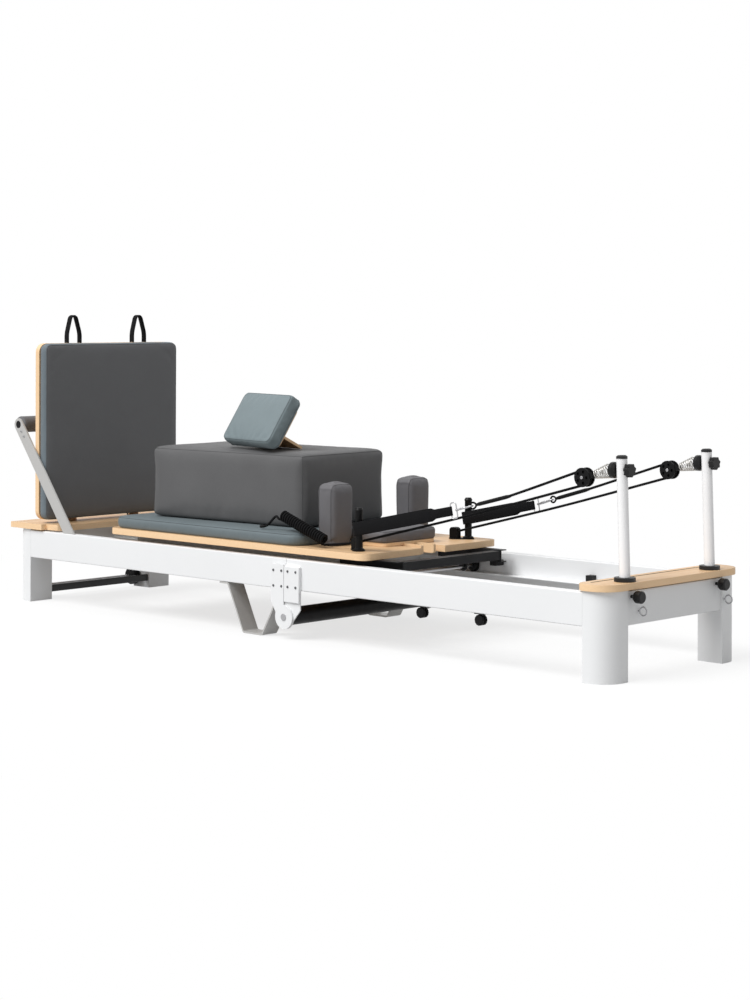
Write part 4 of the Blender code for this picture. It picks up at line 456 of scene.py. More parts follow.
def rounded_rectangle(a0, a1, b0, b1, radius, steps=6):
    corners = ((a0, b0, 1, 1, 180), (a1, b0, -1, 1, 270), (a1, b1, -1, -1, 0), (a0, b1, 1, -1, 90))
    points = []
    for a, b, sign_a, sign_b, start in corners:
        centre = (a + sign_a * radius, b + sign_b * radius)
        points += arc(centre, radius, start, start + 90, steps)
    return points


def belt(centre_0, radius_0, centre_1, radius_1, steps):
    """Outline round two circles, as a belt over two wheels."""
    run = (centre_1[0] - centre_0[0], centre_1[1] - centre_0[1])
    heading = degrees(atan2(run[1], run[0]))
    drop = radius_0 - radius_1
    opening = 90 - degrees(atan2(drop, (hypot(*run) ** 2 - drop**2) ** 0.5))
    near_end = arc(centre_0, radius_0, heading + opening, heading + 360 - opening, steps)
    return near_end + arc(centre_1, radius_1, heading - opening, heading + opening, steps)


def fillet_path(points, radius, steps):
    """Open path with its inner corners rounded by quadratic curves."""
    path = [points[0]]
    for before, corner, after in zip(points, points[1:], points[2:]):
        entry = corner + (before - corner).normalized() * radius
        leave = corner + (after - corner).normalized() * radius
        for step in range(steps + 1):
            share = step / steps
            bend = corner * 2 * share * (1 - share)
            path.append(entry * (1 - share) ** 2 + bend + leave * share**2)
    return path + [points[-1]]


def even(points, spacing, closed=False):
    """The same path with evenly spaced points."""
    points = list(points) + ([points[0]] if closed else [])
    lengths = [0.0]
    for start, end in zip(points, points[1:]):
        lengths.append(lengths[-1] + (end - start).length)
    count = max(round(lengths[-1] / spacing), 2)
    route = []
    index = 0
    for step in range(count + (0 if closed else 1)):
        target = lengths[-1] * step / count
        while index < len(points) - 2 and lengths[index + 1] < target:
            index += 1
        span = max(lengths[index + 1] - lengths[index], 1e-9)
        share = min((target - lengths[index]) / span, 1.0)
        route.append(points[index].lerp(points[index + 1], share))
    return route


def smooth_route(points, spacing, steps=16):
    """Even points on a smooth curve through the given ones."""
    ends = [points[0] * 2 - points[1], *points, points[-1] * 2 - points[-2]]
    fine = []
    for before, start, end, after in zip(ends, ends[1:], ends[2:], ends[3:]):
        for step in range(steps):
            t = step / steps
            bend = (before * 2 - start * 5 + end * 4 - after) * t**2
            twist = (start * 3 - before - end * 3 + after) * t**3
            fine.append((start * 2 + (end - before) * t + bend + twist) / 2)
    return even(fine + [points[-1]], spacing)


def headings(points, closed=False):
    """Direction of a path at each of its points."""
    first, last = (points[-1], points[0]) if closed else (points[0], points[-1])
    path = [first, *points, last]
    return [(after - before).normalized() for before, after in zip(path, path[2:])]


def frames(points, closed=False):
    """Two directions square to a path at each point, turning as little as they can."""
    tangents = headings(points, closed)
    sides = [tangents[0].orthogonal().normalized()]
    for before, after in zip(tangents, tangents[1:]):
        sides.append((before.rotation_difference(after) @ sides[-1]).normalized())
    twist = 0.0
    if closed:
        back = tangents[-1].rotation_difference(tangents[0]) @ sides[-1]
        twist = atan2(back.cross(sides[0]).dot(tangents[0]), back.dot(sides[0]))
    result = []
    for index, (tangent, side) in enumerate(zip(tangents, sides)):
        side = Matrix.Rotation(twist * index / len(points), 3, tangent) @ side
        result.append((side, tangent.cross(side)))
    return result


def spokes(count):
    return [2 * pi * step / count for step in range(count)]


def loft(bm, rings, closed=False):
    """Skin over rings of points, with flat ends unless the last ring joins the first."""
    rings = [[bm.verts.new(point) for point in ring] for ring in rings]
    pairs = list(zip(rings, rings[1:])) + ([(rings[-1], rings[0])] if closed else [])
    for ring, following in pairs:
        for index in range(len(ring)):
            after = (index + 1) % len(ring)
            bm.faces.new((ring[index], ring[after], following[after], following[index]))
    if not closed:
        bm.faces.new(rings[0])
        bm.faces.new(rings[-1])
    return bm


def sweep(bm, points, radius, sides=12, closed=False, shape=None):
    """Round tube along points; shape(angle, distance) scales the radius all round and along it."""
    radii = radius if isinstance(radius, list) else [radius] * len(points)
    rings = []
    travelled = 0.0
    before = points[0]
    for point, reach, (side, up) in zip(points, radii, frames(points, closed)):
        travelled += (point - before).length
        before = point
        ring = []
        for angle in spokes(sides):
            scale = shape(angle, travelled) if shape else 1.0
            ring.append(point + (side * cos(angle) + up * sin(angle)) * reach * scale)
        rings.append(ring)
    return loft(bm, rings, closed)


def along(start, direction):
    """Matrix whose local Z runs from a start point in a direction."""
    turn = Vector((0, 0, 1)).rotation_difference(Vector(direction)).to_matrix().to_4x4()
    return Matrix.Translation(Vector(start)) @ turn


def turned(bm, profile, place, sides=20, closed=False):
    """Solid turned about the local Z of a matrix from points of radius and height."""
    return loft(bm, [[place @ Vector((radius * cos(angle), radius * sin(angle), height))
                      for angle in spokes(sides)] for radius, height in profile], closed)


def ribbon(bm, path, widths, thick, across, closed=False):
    """Flat strap along a path, with slightly rounded edges; across is its width direction."""
    lip = thick * STRAP_LIP
    rings = []
    for point, half, heading in zip(path, widths, headings(path, closed)):
        normal = heading.cross(across).normalized()
        section = [(half - lip, 0.5), (half, STRAP_FLAT), (half, -STRAP_FLAT), (half - lip, -0.5)]
        section += [(-a, b) for a, b in reversed(section)]
        rings.append([point + across * a + normal * (b * thick) for a, b in section])
    return loft(bm, rings, closed)


# Ropes. Each runs from its cleat, round its sheave and back to a spliced eye.

ROPE_RADIUS = 0.0035
SHEAVE_GROOVE = 0.0150
SHEAVE_WRAP = SHEAVE_GROOVE + ROPE_RADIUS + CLEARANCE
# Share of the way from the peg to the pulley, distance in from the rail's face, and height
ROPE_ENDS = {
    "near": {"ring": (0.4400, 0.070, 0.391), "eye": (0.5293, 0.080, 0.409),
             "splice": (0.6733, 0.091, 0.438)},
    "far": {"ring": (0.3427, 0.075, 0.375), "eye": (0.4413, 0.080, 0.396),
            "splice": (0.6120, 0.093, 0.431)},
}
ROPE_SAG = 0.004
BRAID = 2 * pi / 0.0075
BRAID_DEPTH = 0.07
FINE = 0.0014
EYE_RADIUS = 0.0085
EYE_WIRE = 0.0026
EYE_STRETCH = 0.35
NECK = EYE_RADIUS * 1.5
SLEEVE_LEAD = 0.012
SLEEVE_STEP = 0.0008
SLEEVE_BODY = 0.0014
RIDGE_HEIGHT = 0.00025
RIDGE_PITCH = 0.0026
STRAP_RUN = PULLEY_X - PEG[0]


def rope_point(side, end):
    share, inset, height = ROPE_ENDS[side][end]
    return bench(PEG[0] + STRAP_RUN * share, side_y(inset, side), height)


def pulled(piece):
    """Gives the piece a mesh of its own."""
    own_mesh(piece)
    return piece


def braided(angle, distance):
    lay = BRAID * distance
    return 1.0 + BRAID_DEPTH * sin(4 * angle + lay) * sin(4 * angle - lay)


def rope_mesh(name, points, radius, body):
    return from_bmesh(name, sweep(bmesh.new(), points, radius, 16, shape=braided), ROPE, body)


def sleeve_radii(count):
    """Radii along a moulded sleeve: rounded ends and fine ridges."""
    radii = []
    for index in range(count):
        share = index / (count - 1)
        body = min(share / 0.12, (1 - share) / 0.10, 1.0)
        ridges = RIDGE_HEIGHT * sin(2 * pi * index * SLEEVE_STEP / RIDGE_PITCH)
        radii.append(ROPE_RADIUS * 1.08 + SLEEVE_BODY * max(body, 0.0) + ridges * body)
    return radii


def add_ropes(side):
    sheave = bench(PULLEY_X, side_y(RISER_Y, side), PULLEY_Z)
    start_x = CLEAT[0] + CLEAT_LENGTH / 2 + CLEARANCE
    start = bench(start_x, side_y(CLEAT[1], side), ROPE_START_Z)
    splice = rope_point(side, "splice")
    eye = rope_point(side, "eye")
    lower, upper = (degrees(atan2(sheave.z - end.z, sheave.x - end.x)) for end in (start, splice))
    wrap = arc((sheave.x, sheave.z), SHEAVE_WRAP, lower - 90, upper + 90, 40)
    wrap = [Vector((a, sheave.y, b)) for a, b in wrap]
    sagging = start.lerp(wrap[0], 0.5) - Vector((0, 0, ROPE_SAG))

    route = smooth_route([start, sagging, wrap[0]], FINE)
    low = pulled(rope_mesh("rope_lower_" + side, route, ROPE_RADIUS, "pulley_end"))
    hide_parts("pulley_rope_" + side)

    on_sheave = rope_mesh("rope_on_sheave_" + side, wrap, ROPE_RADIUS, "pulley_end")

    heading = (splice - eye).normalized()
    up = heading.cross(Vector((0, 1, 0))) * -1
    neck = eye + heading * NECK
    route = smooth_route([wrap[-1], splice, neck], FINE)
    back = pulled(rope_mesh("rope_upper_" + side, route, ROPE_RADIUS, "pulley_end"))

    loop = []
    for angle in spokes(24):
        stretch = 1.0 + EYE_STRETCH * max(cos(angle), 0.0)
        loop.append(eye + (heading * cos(angle) * stretch + up * sin(angle)) * EYE_RADIUS)
    bm = sweep(bmesh.new(), loop, EYE_WIRE, 10, closed=True)
    eye_piece = pulled(from_bmesh("rope_eye_" + side, bm, ROPE, "pulley_end"))

    sleeve = even([splice + heading * SLEEVE_LEAD, splice, neck], SLEEVE_STEP)
    bm = sweep(bmesh.new(), sleeve, sleeve_radii(len(sleeve)), 16)
    sleeve_piece = pulled(from_bmesh("rope_sleeve_" + side, bm, SLEEVE, "pulley_end"))


# Spare tail of the near rope: laid on the pad, wound in a coil, then led to its cleat

HANK_START = bench(1.170, 0.045, 0.341)
HANK_END = bench(1.338, 0.045, 0.2825)
HANK_RADIUS = 0.0128
HANK_CURLS = 20
CURL_STEPS = 8
HANK_ROPE = 0.0034
CLEAT_DROP = 0.006


def add_rope_hank():
    run = HANK_END - HANK_START
    axis = run.normalized()
    side = Vector((0, 1, 0))
    up = axis.cross(side)
    curls = []
    for step in range(HANK_CURLS * CURL_STEPS + 1):
        share = step / (HANK_CURLS * CURL_STEPS)
        angle = 2 * pi * HANK_CURLS * share - pi / 2
        curls.append(HANK_START + run * share + (side * cos(angle) + up * sin(angle)) * HANK_RADIUS)
    on_pad = Vector((HANK_START.x, HANK_START.y, CARRIAGE_TOP + PAD_THICK + HANK_ROPE))
    tail = [on_pad + Vector((-0.085, -0.005, 0.0005)), on_pad + Vector((-0.060, -0.003, 0.006))]
    tail += [curls[0] - axis * back - side * out for back, out in ((0.022, 0.004), (0.006, 0.006))]
    cleat_x = CLEAT[0] - CLEAT_LENGTH / 2 - CLEARANCE
    cleat = bench(cleat_x, CLEAT[1], ROPE_START_Z - CLEAT_DROP)
    lead = [curls[-1] + axis * 0.004 + side * 0.008]
    lead += [cleat - Vector((0.020, 0.004, 0.003)), cleat - Vector((0.007, 0.0, 0.0)), cleat]
    route = smooth_route(tail + curls + lead, FINE)
    hank = rope_mesh("rope_hank_coil", route, HANK_ROPE, "carriage")
    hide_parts("rope_hank")
    bare_end = route[0] + (route[0] - route[1]).normalized() * 0.003
    tip = even([bare_end, route[0], route[10]], 0.0006)
    radii = []
    for index in range(len(tip)):
        dome = min(1.0, (index / (len(tip) - 1) / 0.12) ** 0.5)
        radii.append((HANK_ROPE + 0.0005 + 0.00018 * sin(index * 1.6)) * dome + 0.0002)
    tip_piece = from_bmesh("rope_hank_tip", sweep(bmesh.new(), tip, radii, 14), SLEEVE, "carriage")


for side in SIDES:
    add_ropes(side)
add_rope_hank()


# Straps from the pegs, with their rings and snap links

STRAP_Z = 0.322
STRAP_THICK = 0.0025
STRAP_HALF = 0.018
STRAP_NARROW = 0.0125
STRAP_TAPER = 0.014
STRAP_PLAY = 0.0048
SEWN_END = 0.060
STITCH_ROWS = 5
STITCHES = 9
ROW_PITCH = 0.0085
STITCH_PITCH = 0.00245
STITCH_THREAD = 0.00032
RING_WIRE = 0.0016
RING_LENGTH = 0.020
CLIP_WIRE = 0.0020
CLIP_HALF = 0.010
CLIP_NOSE = CLIP_HALF * 0.7
CLIP_GATE = [(0.0010, -0.0095), (0.0029, -0.009), (0.0031, -0.006), (0.0031, 0.006),
             (0.0027, 0.009), (0.0010, 0.0095)]
CLIP_BARREL = [(0.0022, -0.0035), (0.0036, -0.0028), (0.0036, 0.0028), (0.0022, 0.0035)]


def level_frame(start, heading):
    """Matrix with X in a direction, Y level and Z square to both."""
    level = Vector((0, 0, 1)).cross(heading).normalized()
    return axes(start, heading, level, heading.cross(level))


def strap_width(x, length):
    """Half width of the webbing: wide over the loop, drawn in to the sewn end at the ring."""
    share = min(max((length - SEWN_END - x) / STRAP_TAPER, 0.0), 1.0)
    return STRAP_NARROW + (STRAP_HALF - STRAP_NARROW) * share


def add_stitches(side, place, length, centre_peg, centre_ring):
    bm = bmesh.new()
    tangent_drop = (centre_peg - centre_ring) / length
    for sign in (-1, 1):
        for row in range(STITCH_ROWS):
            x = length - SEWN_END + 0.016 + row * ROW_PITCH
            skin = centre_ring + (length - x) * tangent_drop + STRAP_THICK / 2 + 0.00015
            for step in range(STITCHES):
                z = -0.0098 + step * STITCH_PITCH
                start = Vector((x, sign * skin, z - 0.0009))
                end = Vector((x + 0.0004, sign * skin, z + 0.0009))
                crest = (start + end) / 2 + Vector((0, sign * 0.0003, 0))
                sweep(bm, [start, crest, end], STITCH_THREAD, 6)
    pulled(from_bmesh("strap_stitches_" + side, bm, SLEEVE, "pulley_end", place))


def add_strap(side):
    peg = bench(PEG[0], side_y(PEG[1], side), STRAP_Z)
    run = rope_point(side, "ring") - peg
    length = run.length
    place = level_frame(peg, run.normalized())
    centre_peg = PEG_RADIUS + STRAP_PLAY + STRAP_THICK / 2
    centre_ring = RING_WIRE * 0.8 + STRAP_THICK / 2
    outline = belt((0.0, 0.0), centre_peg, (length, 0.0), centre_ring, 18)
    path = even([Vector((a, b, 0)) for a, b in outline], 0.004, closed=True)
    widths = [strap_width(point.x, length) for point in path]
    bm = ribbon(bmesh.new(), path, widths, STRAP_THICK, Vector((0, 0, 1)), closed=True)
    strap = pulled(from_bmesh("strap_" + side, bm, STRAP, "pulley_end", place))
    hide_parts("strap_loop_" + side)
    add_stitches(side, place, length, centre_peg, centre_ring)

    rise = STRAP_HALF + RING_WIRE * 2
    outline = rounded_rectangle(length, length + RING_LENGTH, -rise, rise, RING_LENGTH / 3)
    bm = sweep(bmesh.new(), [Vector((a, 0, b)) for a, b in outline], RING_WIRE, closed=True)
    pulled(from_bmesh("strap_ring_" + side, bm, FITTING, "pulley_end", place))

    start = place @ Vector((length + RING_LENGTH - RING_WIRE, 0, 0))
    reach = rope_point(side, "eye") - start
    far_end = (reach.length - CLIP_NOSE, 0)
    outline = belt((CLIP_HALF, 0), CLIP_HALF - 0.0006, far_end, CLIP_NOSE, 14)
    bm = sweep(bmesh.new(), [Vector((a, b, 0)) for a, b in outline], CLIP_WIRE, closed=True)
    turned(bm, CLIP_GATE, along((reach.length * 0.52, -CLIP_HALF * 0.84, 0), (1, 0.08, 0)), 14)
    turned(bm, CLIP_BARREL, along((0.0022, 0, 0), (0, 1, 0)), 14)
    link_place = level_frame(start, reach.normalized())
    pulled(from_bmesh("snap_link_" + side, bm, FITTING, "pulley_end", link_place))


for side in SIDES:
    add_strap(side)


# Springs of the pulleys and of the carriage

BOOT_LENGTH = 0.016
CONE_WIRE = 0.0015
CONE_ENDS = (0.0185, 0.0095)
CONE_FIRST = CONE_ENDS[0] * 0.19 + CONE_WIRE * 2
CONE_TURNS = 7.25
YOKE_END = 0.0205 + 0.0027 + 0.010 + CLEARANCE
COIL_START = 0.0362
COIL_END = 0.4957
COIL_Z = 0.1855
COIL_OFFSET = 0.080
COIL_RADIUS = 0.0097
COIL_HOOK = 0.012
COIL_TURNS = 104
COIL_WIRE = 0.0012


def helix(start, axis, length, radii, turns, steps):
    """Points of a coil along an axis; radii gives the radius at each share of it."""
    across = axis.orthogonal().normalized() if abs(axis.y) > 0.9 else Vector((0, 1, 0))
    up = axis.cross(across).normalized()
    points = []
    count = round(turns * steps)
    for step in range(count + 1):
        share = step / count
        angle = 2 * pi * turns * share
        turn = across * cos(angle) + up * sin(angle)
        points.append(start + axis * length * share + turn * radii(share))
    return points


def cone_radius(share):
    return CONE_ENDS[0] + (CONE_ENDS[1] - CONE_ENDS[0]) * share


def coil_radius(share):
    """The coil closes in at both its ends."""
    return COIL_RADIUS * min(1.0, 0.25 + 0.75 * (min(share, 1 - share) / 0.012))


def add_cone_spring(side):
    y = side_y(RISER_Y, side)
    knob_x = RISER_X - (KNOB_Z - PLATFORM_TOP) * tan(RISER_LEAN)
    cross = Vector((cos(RISER_LEAN), 0, sin(RISER_LEAN)))
    boot = bench(knob_x, y, KNOB_Z) - cross * (RISER_RADIUS + CLEARANCE + BOOT_LENGTH)
    pulley = bench(PULLEY_X, y, PULLEY_Z)
    axis = (pulley - boot).normalized()
    length = (boot - pulley).length - YOKE_END - CONE_WIRE - CONE_FIRST
    points = helix(boot + axis * CONE_FIRST, axis, length, cone_radius, CONE_TURNS, 24)
    bm = sweep(bmesh.new(), points, CONE_WIRE, 10)
    piece = from_bmesh("cone_spring_" + side, bm, SPRING, "pulley_end")
    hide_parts("pulley_spring_" + side)


def add_carriage_spring(side):
    y = MIDDLE + (COIL_OFFSET if side == "far" else -COIL_OFFSET)
    ends = (COIL_START, COIL_START + COIL_HOOK, COIL_END)
    start, first, end = (bench(x, y, COIL_Z) for x in ends)
    length = COIL_END - COIL_START - COIL_HOOK * 2
    points = helix(first, Vector((1, 0, 0)), length, coil_radius, COIL_TURNS, 14)
    bm = sweep(bmesh.new(), [start, *points, end], COIL_WIRE, 7)
    piece = from_bmesh("carriage_coil_" + side, bm, SPRING, None)
    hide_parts("carriage_spring_" + side)
    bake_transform(piece)


for side in SIDES:
    add_cone_spring(side)
    add_carriage_spring(side)


# Upholstery. Each pad starts a little small, is swollen as cloth, then gets its seams.

SIM_FRAMES = 16
PRESSURE = 2.5
PAD_INSET = 0.001
PAD_TUCK = 0.003
SEAM_REACH = 0.012
SEAM_RADIUS = 0.0008


def vertex_array(mesh):
    points = np.zeros(len(mesh.vertices) * 3)
    mesh.vertices.foreach_get("co", points)
    return points.reshape(-1, 3)


class Pad:
    """One stuffed pad with its seams. Its place is the middle of its base."""

    def __init__(self, name, node, body, look, place, size, corner, edge, cap, slack,
                 voxel=0.004, crown=0.004, base_edge=0.0, fill=0.8):
        self.body, self.slot, self.place = body, look[1], place
        self.size, self.corner, self.edge = size, corner, edge
        self.voxel, self.crown, self.base_edge = voxel, crown, base_edge
        mesh = bpy.data.meshes.new(name)
        bm = loft(bmesh.new(), self.rings())
        bmesh.ops.recalc_face_normals(bm, faces=bm.faces)
        bm.to_mesh(mesh)
        bm.free()
        self.piece = new_object(name, mesh)
        self.modify("REMESH", mode="VOXEL", voxel_size=voxel)
        self.swell(slack, cap)
        self.modify("CORRECTIVE_SMOOTH", iterations=3, use_only_smooth=True)
        self.modify("SUBSURF", levels=1, render_levels=1)
        self.fit()
        self.piece.data.materials.clear()
        self.piece.data.materials.append(look[0].material)
        self.piece.data.shade_smooth()
        self.piece.matrix_world = place
        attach(self.piece, body)
        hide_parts(node)

    def modify(self, kind, **settings):
        """Applies a modifier to the mesh at once."""
        put(self.piece.modifiers.new(kind.lower(), kind), **settings)
        graph = bpy.context.evaluated_depsgraph_get()
        mesh = bpy.data.meshes.new_from_object(self.piece.evaluated_get(graph))
        self.piece.modifiers.clear()
        self.piece.data = mesh

    def outline(self, step, height, sides, inset=0.0, corner=None):
        """Rounded rectangle at a height, a step in from the pad's sides."""
        reach_x, reach_y = (reach / 2 - (step + inset) for reach in self.size[:2])
        radius = max((corner or self.corner) - step, 0.002)
        points = rounded_rectangle(-reach_x, reach_x, -reach_y, reach_y, radius, sides)
        return [(a, b, height) for a, b in points]

    def rings(self):
        """Outlines of the crowned form from its base up."""
        top = self.size[2] - self.crown - PAD_INSET
        base, edge = self.base_edge, self.edge
        if base:
            steps = [(base * (1 - cos(turn)), PAD_INSET + base * (1 - sin(turn)))
                     for turn in map(radians, (90, 60, 30, 0))]
        else:
            steps = [(PAD_TUCK, 0.0), (PAD_TUCK * 0.3, top * 0.15), (0.0, top * 0.38)]
        steps += [(edge * (1 - cos(turn)), top - edge + edge * sin(turn))
                  for turn in map(radians, range(0, 91, 15))]
        rings = [self.outline(step, height, 8, PAD_INSET) for step, height in steps]
        rim = [Vector(point) for point in rings[-1]]
        for share in (0.85, 0.65, 0.4, 0.15):
            lifted = rim[0].z + self.crown * (1 - share**2)
            rings.append([(co.x * share, co.y * share, lifted) for co in rim])
        return rings

    def held(self, point):
        """Weight of the sewn lines: the base and the top seam."""
        if point[2] < max(self.voxel, self.base_edge) * 0.6:
            return 1.0
        out = max(abs(point[0]) - self.size[0] / 2, abs(point[1]) - self.size[1] / 2)
        out += PAD_INSET + self.edge * 0.5
        seam_z = self.size[2] - self.crown - self.edge * 0.5
        on_seam = abs(point[2] - seam_z) + abs(out)
        return max(0.0, 0.9 * (1 - on_seam / SEAM_REACH))

    def swell(self, slack, cap):
        """Cloth under pressure, held at its sewn lines, with a limit on how far it moves."""
        piece = self.piece
        start = vertex_array(piece.data)
        group = piece.vertex_groups.new(name="held")
        for index, point in enumerate(start):
            weight = self.held(point)
            if weight > 0:
                group.add([index], weight, "REPLACE")
        cloth = piece.modifiers.new("cloth", "CLOTH")
        put(cloth.settings, quality=3, mass=0.25, tension_stiffness=12, compression_stiffness=12,
            shear_stiffness=5, bending_stiffness=0.3, use_pressure=True,
            uniform_pressure_force=PRESSURE, shrink_min=-slack, vertex_group_mass="held")
        cloth.settings.effector_weights.gravity = 0
        put(cloth.point_cache, frame_start=1, frame_end=SIM_FRAMES)
        for step in range(1, SIM_FRAMES + 1):
            scene.frame_set(step)
        graph = bpy.context.evaluated_depsgraph_get()
        shift = vertex_array(piece.evaluated_get(graph).to_mesh()) - start
        piece.evaluated_get(graph).to_mesh_clear()
        piece.modifiers.remove(cloth)
        far = np.maximum(np.linalg.norm(shift, axis=1), 1e-9)
        shift *= (cap * np.tanh(far / cap) / far)[:, None]
        piece.data.vertices.foreach_set("co", (start + shift).ravel())
        piece.vertex_groups.clear()
        scene.frame_set(1)

    def fit(self):
        """Stretches the finished form to the pad's size, standing on its base."""
        points = vertex_array(self.piece.data)
        low, high = points.min(axis=0), points.max(axis=0)
        scale = np.array(self.size) / (high - low)
        points = (points - (low + high) / 2) * scale + (0, 0, self.size[2] / 2)
        self.piece.data.vertices.foreach_set("co", points.ravel())

    def top_line(self, height, share=0.3, corner=None):
        """Closed line round the pad where its top rolls over."""
        return self.outline(self.edge * share, height, 10, corner=corner)

    def upright_lines(self, low, high):
        """Lines up the four corners."""
        x, y = (reach / 2 - self.corner * 0.3 for reach in self.size[:2])
        return [[(sign_x * x, sign_y * y, low + (high - low) * step / 8) for step in range(9)]
                for sign_x in (-1, 1) for sign_y in (-1, 1)]

    def seam(self, name, welt, lines, closed=True):
        """Sewn welt that follows the finished surface along the given lines."""
        graph = bpy.context.evaluated_depsgraph_get()
        mesh = self.piece.evaluated_get(graph).to_mesh()
        points = [vert.co.copy() for vert in mesh.vertices]
        tree = BVHTree.FromPolygons(points, [tuple(face.vertices) for face in mesh.polygons])
        self.piece.evaluated_get(graph).to_mesh_clear()
        bm = bmesh.new()
        for line in lines:
            laid = []
            for point in even([Vector(point) for point in line], 0.004, closed=closed):
                found, normal = tree.find_nearest(point)[:2]
                laid.append(found + normal * SEAM_RADIUS * 0.25)
            sweep(bm, laid, SEAM_RADIUS, 8, closed=closed)
        from_bmesh(name, bm, (welt, self.slot), self.body, self.place)


JUMP_SIZE = (0.557, WIDTH - 0.028, 0.0417)
JUMP_PLACE = bench(0.083 + 0.018 + CLEARANCE, MIDDLE, (0.258 + 0.815) / 2)
CARRIAGE_PAD = (0.455, 1.255)
REST_SIZE = (0.065, 0.087, 0.178)
REST_PLACE = (1.265, 0.085)
HEAD_SIZE = (0.164, 0.230, 0.041)
HEAD_PLACE = bench((1.278 + 1.442) / 2, MIDDLE, PAD_BASE + 0.010 + CLEARANCE)
BOX_SIZE = (0.610, 0.367, 0.2145)
BOX_PLACE = bench(0.574, 0.074, CARRIAGE_TOP + PAD_THICK + 2 * CLEARANCE)
BOX_TURN = Matrix.Rotation(radians(3.5), 4, "Z")
PILLOW_SIZE = (0.250, 0.160, 0.050)
PILLOW_PLACE = bench(1.066, 0.124, BOX_PLACE.z + BOX_SIZE[2] + CLEARANCE)
PILLOW_TURN = Matrix.Rotation(radians(-11.0), 4, "Z")
PILLOW_LIFT = Matrix.Rotation(radians(58.0), 4, "X")
PROP_LIFT = Matrix.Rotation(radians(-28.0), 4, "X")


def fuller(size, *more):
    return tuple(value + extra for value, extra in zip(size, more))


def shoulder_lines(size):
    """Two seams over a shoulder rest, from one side of its base to the other."""
    half = size[1] / 2 - 0.002
    high = size[2] - 0.006
    rise = [(half, 0.004), (half, high * 0.5), (half, high - 0.022),
            (half - 0.008, high - 0.006), (half - 0.022, high), (0.0, high + 0.002)]
    lines = []
    for x in (-size[0] / 2 + 0.010, size[0] / 2 - 0.010):
        path = [(x, -out, up) for out, up in rise]
        lines.append(path + [(x, out, up) for out, up in reversed(rise[:-1])])
    return lines


def add_pads():
    place = Matrix.Translation(JUMP_PLACE) @ Matrix.Rotation(radians(90), 4, "Y")
    look = (vinyl("jump_board_vinyl", tone(106, 107, 109), tone(110, 121, 128)), "grey_vinyl")
    pad = Pad("jump_board_cover", "jump_board_pad", "foot_end", look, place, JUMP_SIZE,
              corner=0.020, edge=0.010, cap=0.0035, slack=0.008, voxel=0.006)
    # Painted shade: the welt is a darker vinyl than the pad, for the shade along the sewn crease.
    welt = vinyl("jump_board_seam", tone(84, 90, 94))
    pad.seam("jump_board_seam", welt, [pad.top_line(JUMP_SIZE[2] - 0.0065)])

    start, end = CARRIAGE_PAD
    place = Matrix.Translation(bench((start + end) / 2, MIDDLE, PAD_BASE))
    look = (vinyl("carriage_vinyl", tone(104, 115, 119)), "pale_vinyl")
    size = (end - start, WIDTH - 0.032, PAD_THICK)
    pad = Pad("carriage_cover", "carriage_pad", "carriage", look, place, size,
              corner=0.045, edge=0.010, cap=0.003, slack=0.010, voxel=0.006)
    # Painted shade: the welt is a darker vinyl than the pad, for the shade along the sewn crease.
    welt = vinyl("carriage_seam", tone(72, 80, 84))
    pad.seam("carriage_seam", welt, [pad.top_line(PAD_THICK - 0.0062)])

    look = (vinyl("shoulder_vinyl", tone(104, 103, 106)), "grey_vinyl")
    # Painted shade: the welt is a darker vinyl than the pads, for the shade along the sewn creases.
    welt = vinyl("shoulder_seam", tone(80, 79, 81))
    for side in SIDES:
        y = side_y(REST_PLACE[1] + REST_SIZE[1] / 2, side)
        place = Matrix.Translation(bench(REST_PLACE[0] + REST_SIZE[0] / 2, y, PAD_BASE))
        pad = Pad("shoulder_cover_" + side, "shoulder_rest_" + side, "carriage", look, place,
                  fuller(REST_SIZE, 0.006, 0.004, 0.002), corner=0.014, edge=0.018, cap=0.005,
                  slack=0.05, fill=0.7)
        pad.seam("shoulder_seam_" + side, welt, shoulder_lines(REST_SIZE), closed=False)

    pad = Pad("headrest_cover", "headrest_pad", "headrest", look, Matrix.Translation(HEAD_PLACE),
              HEAD_SIZE, corner=0.018, edge=0.012, cap=0.004, slack=0.02)
    pad.seam("headrest_seam", welt, [pad.top_line(HEAD_SIZE[2] - 0.0065, corner=0.020)])

    place = Matrix.Translation(BOX_PLACE) @ BOX_TURN
    place = place @ Matrix.Translation((BOX_SIZE[0] / 2, BOX_SIZE[1] / 2, 0))
    look = (vinyl("sitting_box_vinyl", tone(93, 93, 94)), "grey_vinyl")
    pad = Pad("sitting_box_cover", "sitting_box", "carriage", look, place,
              fuller(BOX_SIZE, 0.008, 0.008, 0.0), corner=0.012, edge=0.014, cap=0.004,
              slack=0.006, voxel=0.007, crown=0.002, base_edge=0.006, fill=0.95)
    # Painted shade: the welt is a darker vinyl than the box, for the shade along the sewn creases.
    welt = vinyl("sitting_box_seam", tone(80, 80, 81))
    pad.seam("sitting_box_seam", welt, [pad.top_line(BOX_SIZE[2] - 0.006)])
    corners = pad.upright_lines(0.008, BOX_SIZE[2] - 0.008)
    pad.seam("sitting_box_corners", welt, corners, closed=False)

    place = Matrix.Translation(PILLOW_PLACE) @ (PILLOW_TURN @ PILLOW_LIFT)
    place = place @ Matrix.Translation((-PILLOW_SIZE[0] / 2, PILLOW_SIZE[1] / 2 + 0.004, 0))
    look = (vinyl("pillow_vinyl", tone(120, 133, 137)), "pale_vinyl")
    size = fuller(PILLOW_SIZE, 0.010, 0.008, 0.003)
    pad = Pad("pillow_cover", "pillow_pad", "carriage", look, place, size,
              corner=0.020, edge=0.012, cap=0.005, slack=0.02)
    # Painted shade: the welt is a darker vinyl than the pillow, for the shade along the sewn
    # creases.
    pad.seam("pillow_seam", vinyl("pillow_seam", tone(88, 98, 102)),
             [pad.top_line(size[2] - 0.0075), pad.top_line(0.008, share=0.0)])


add_pads()


# Jump board loops, grip and small fittings

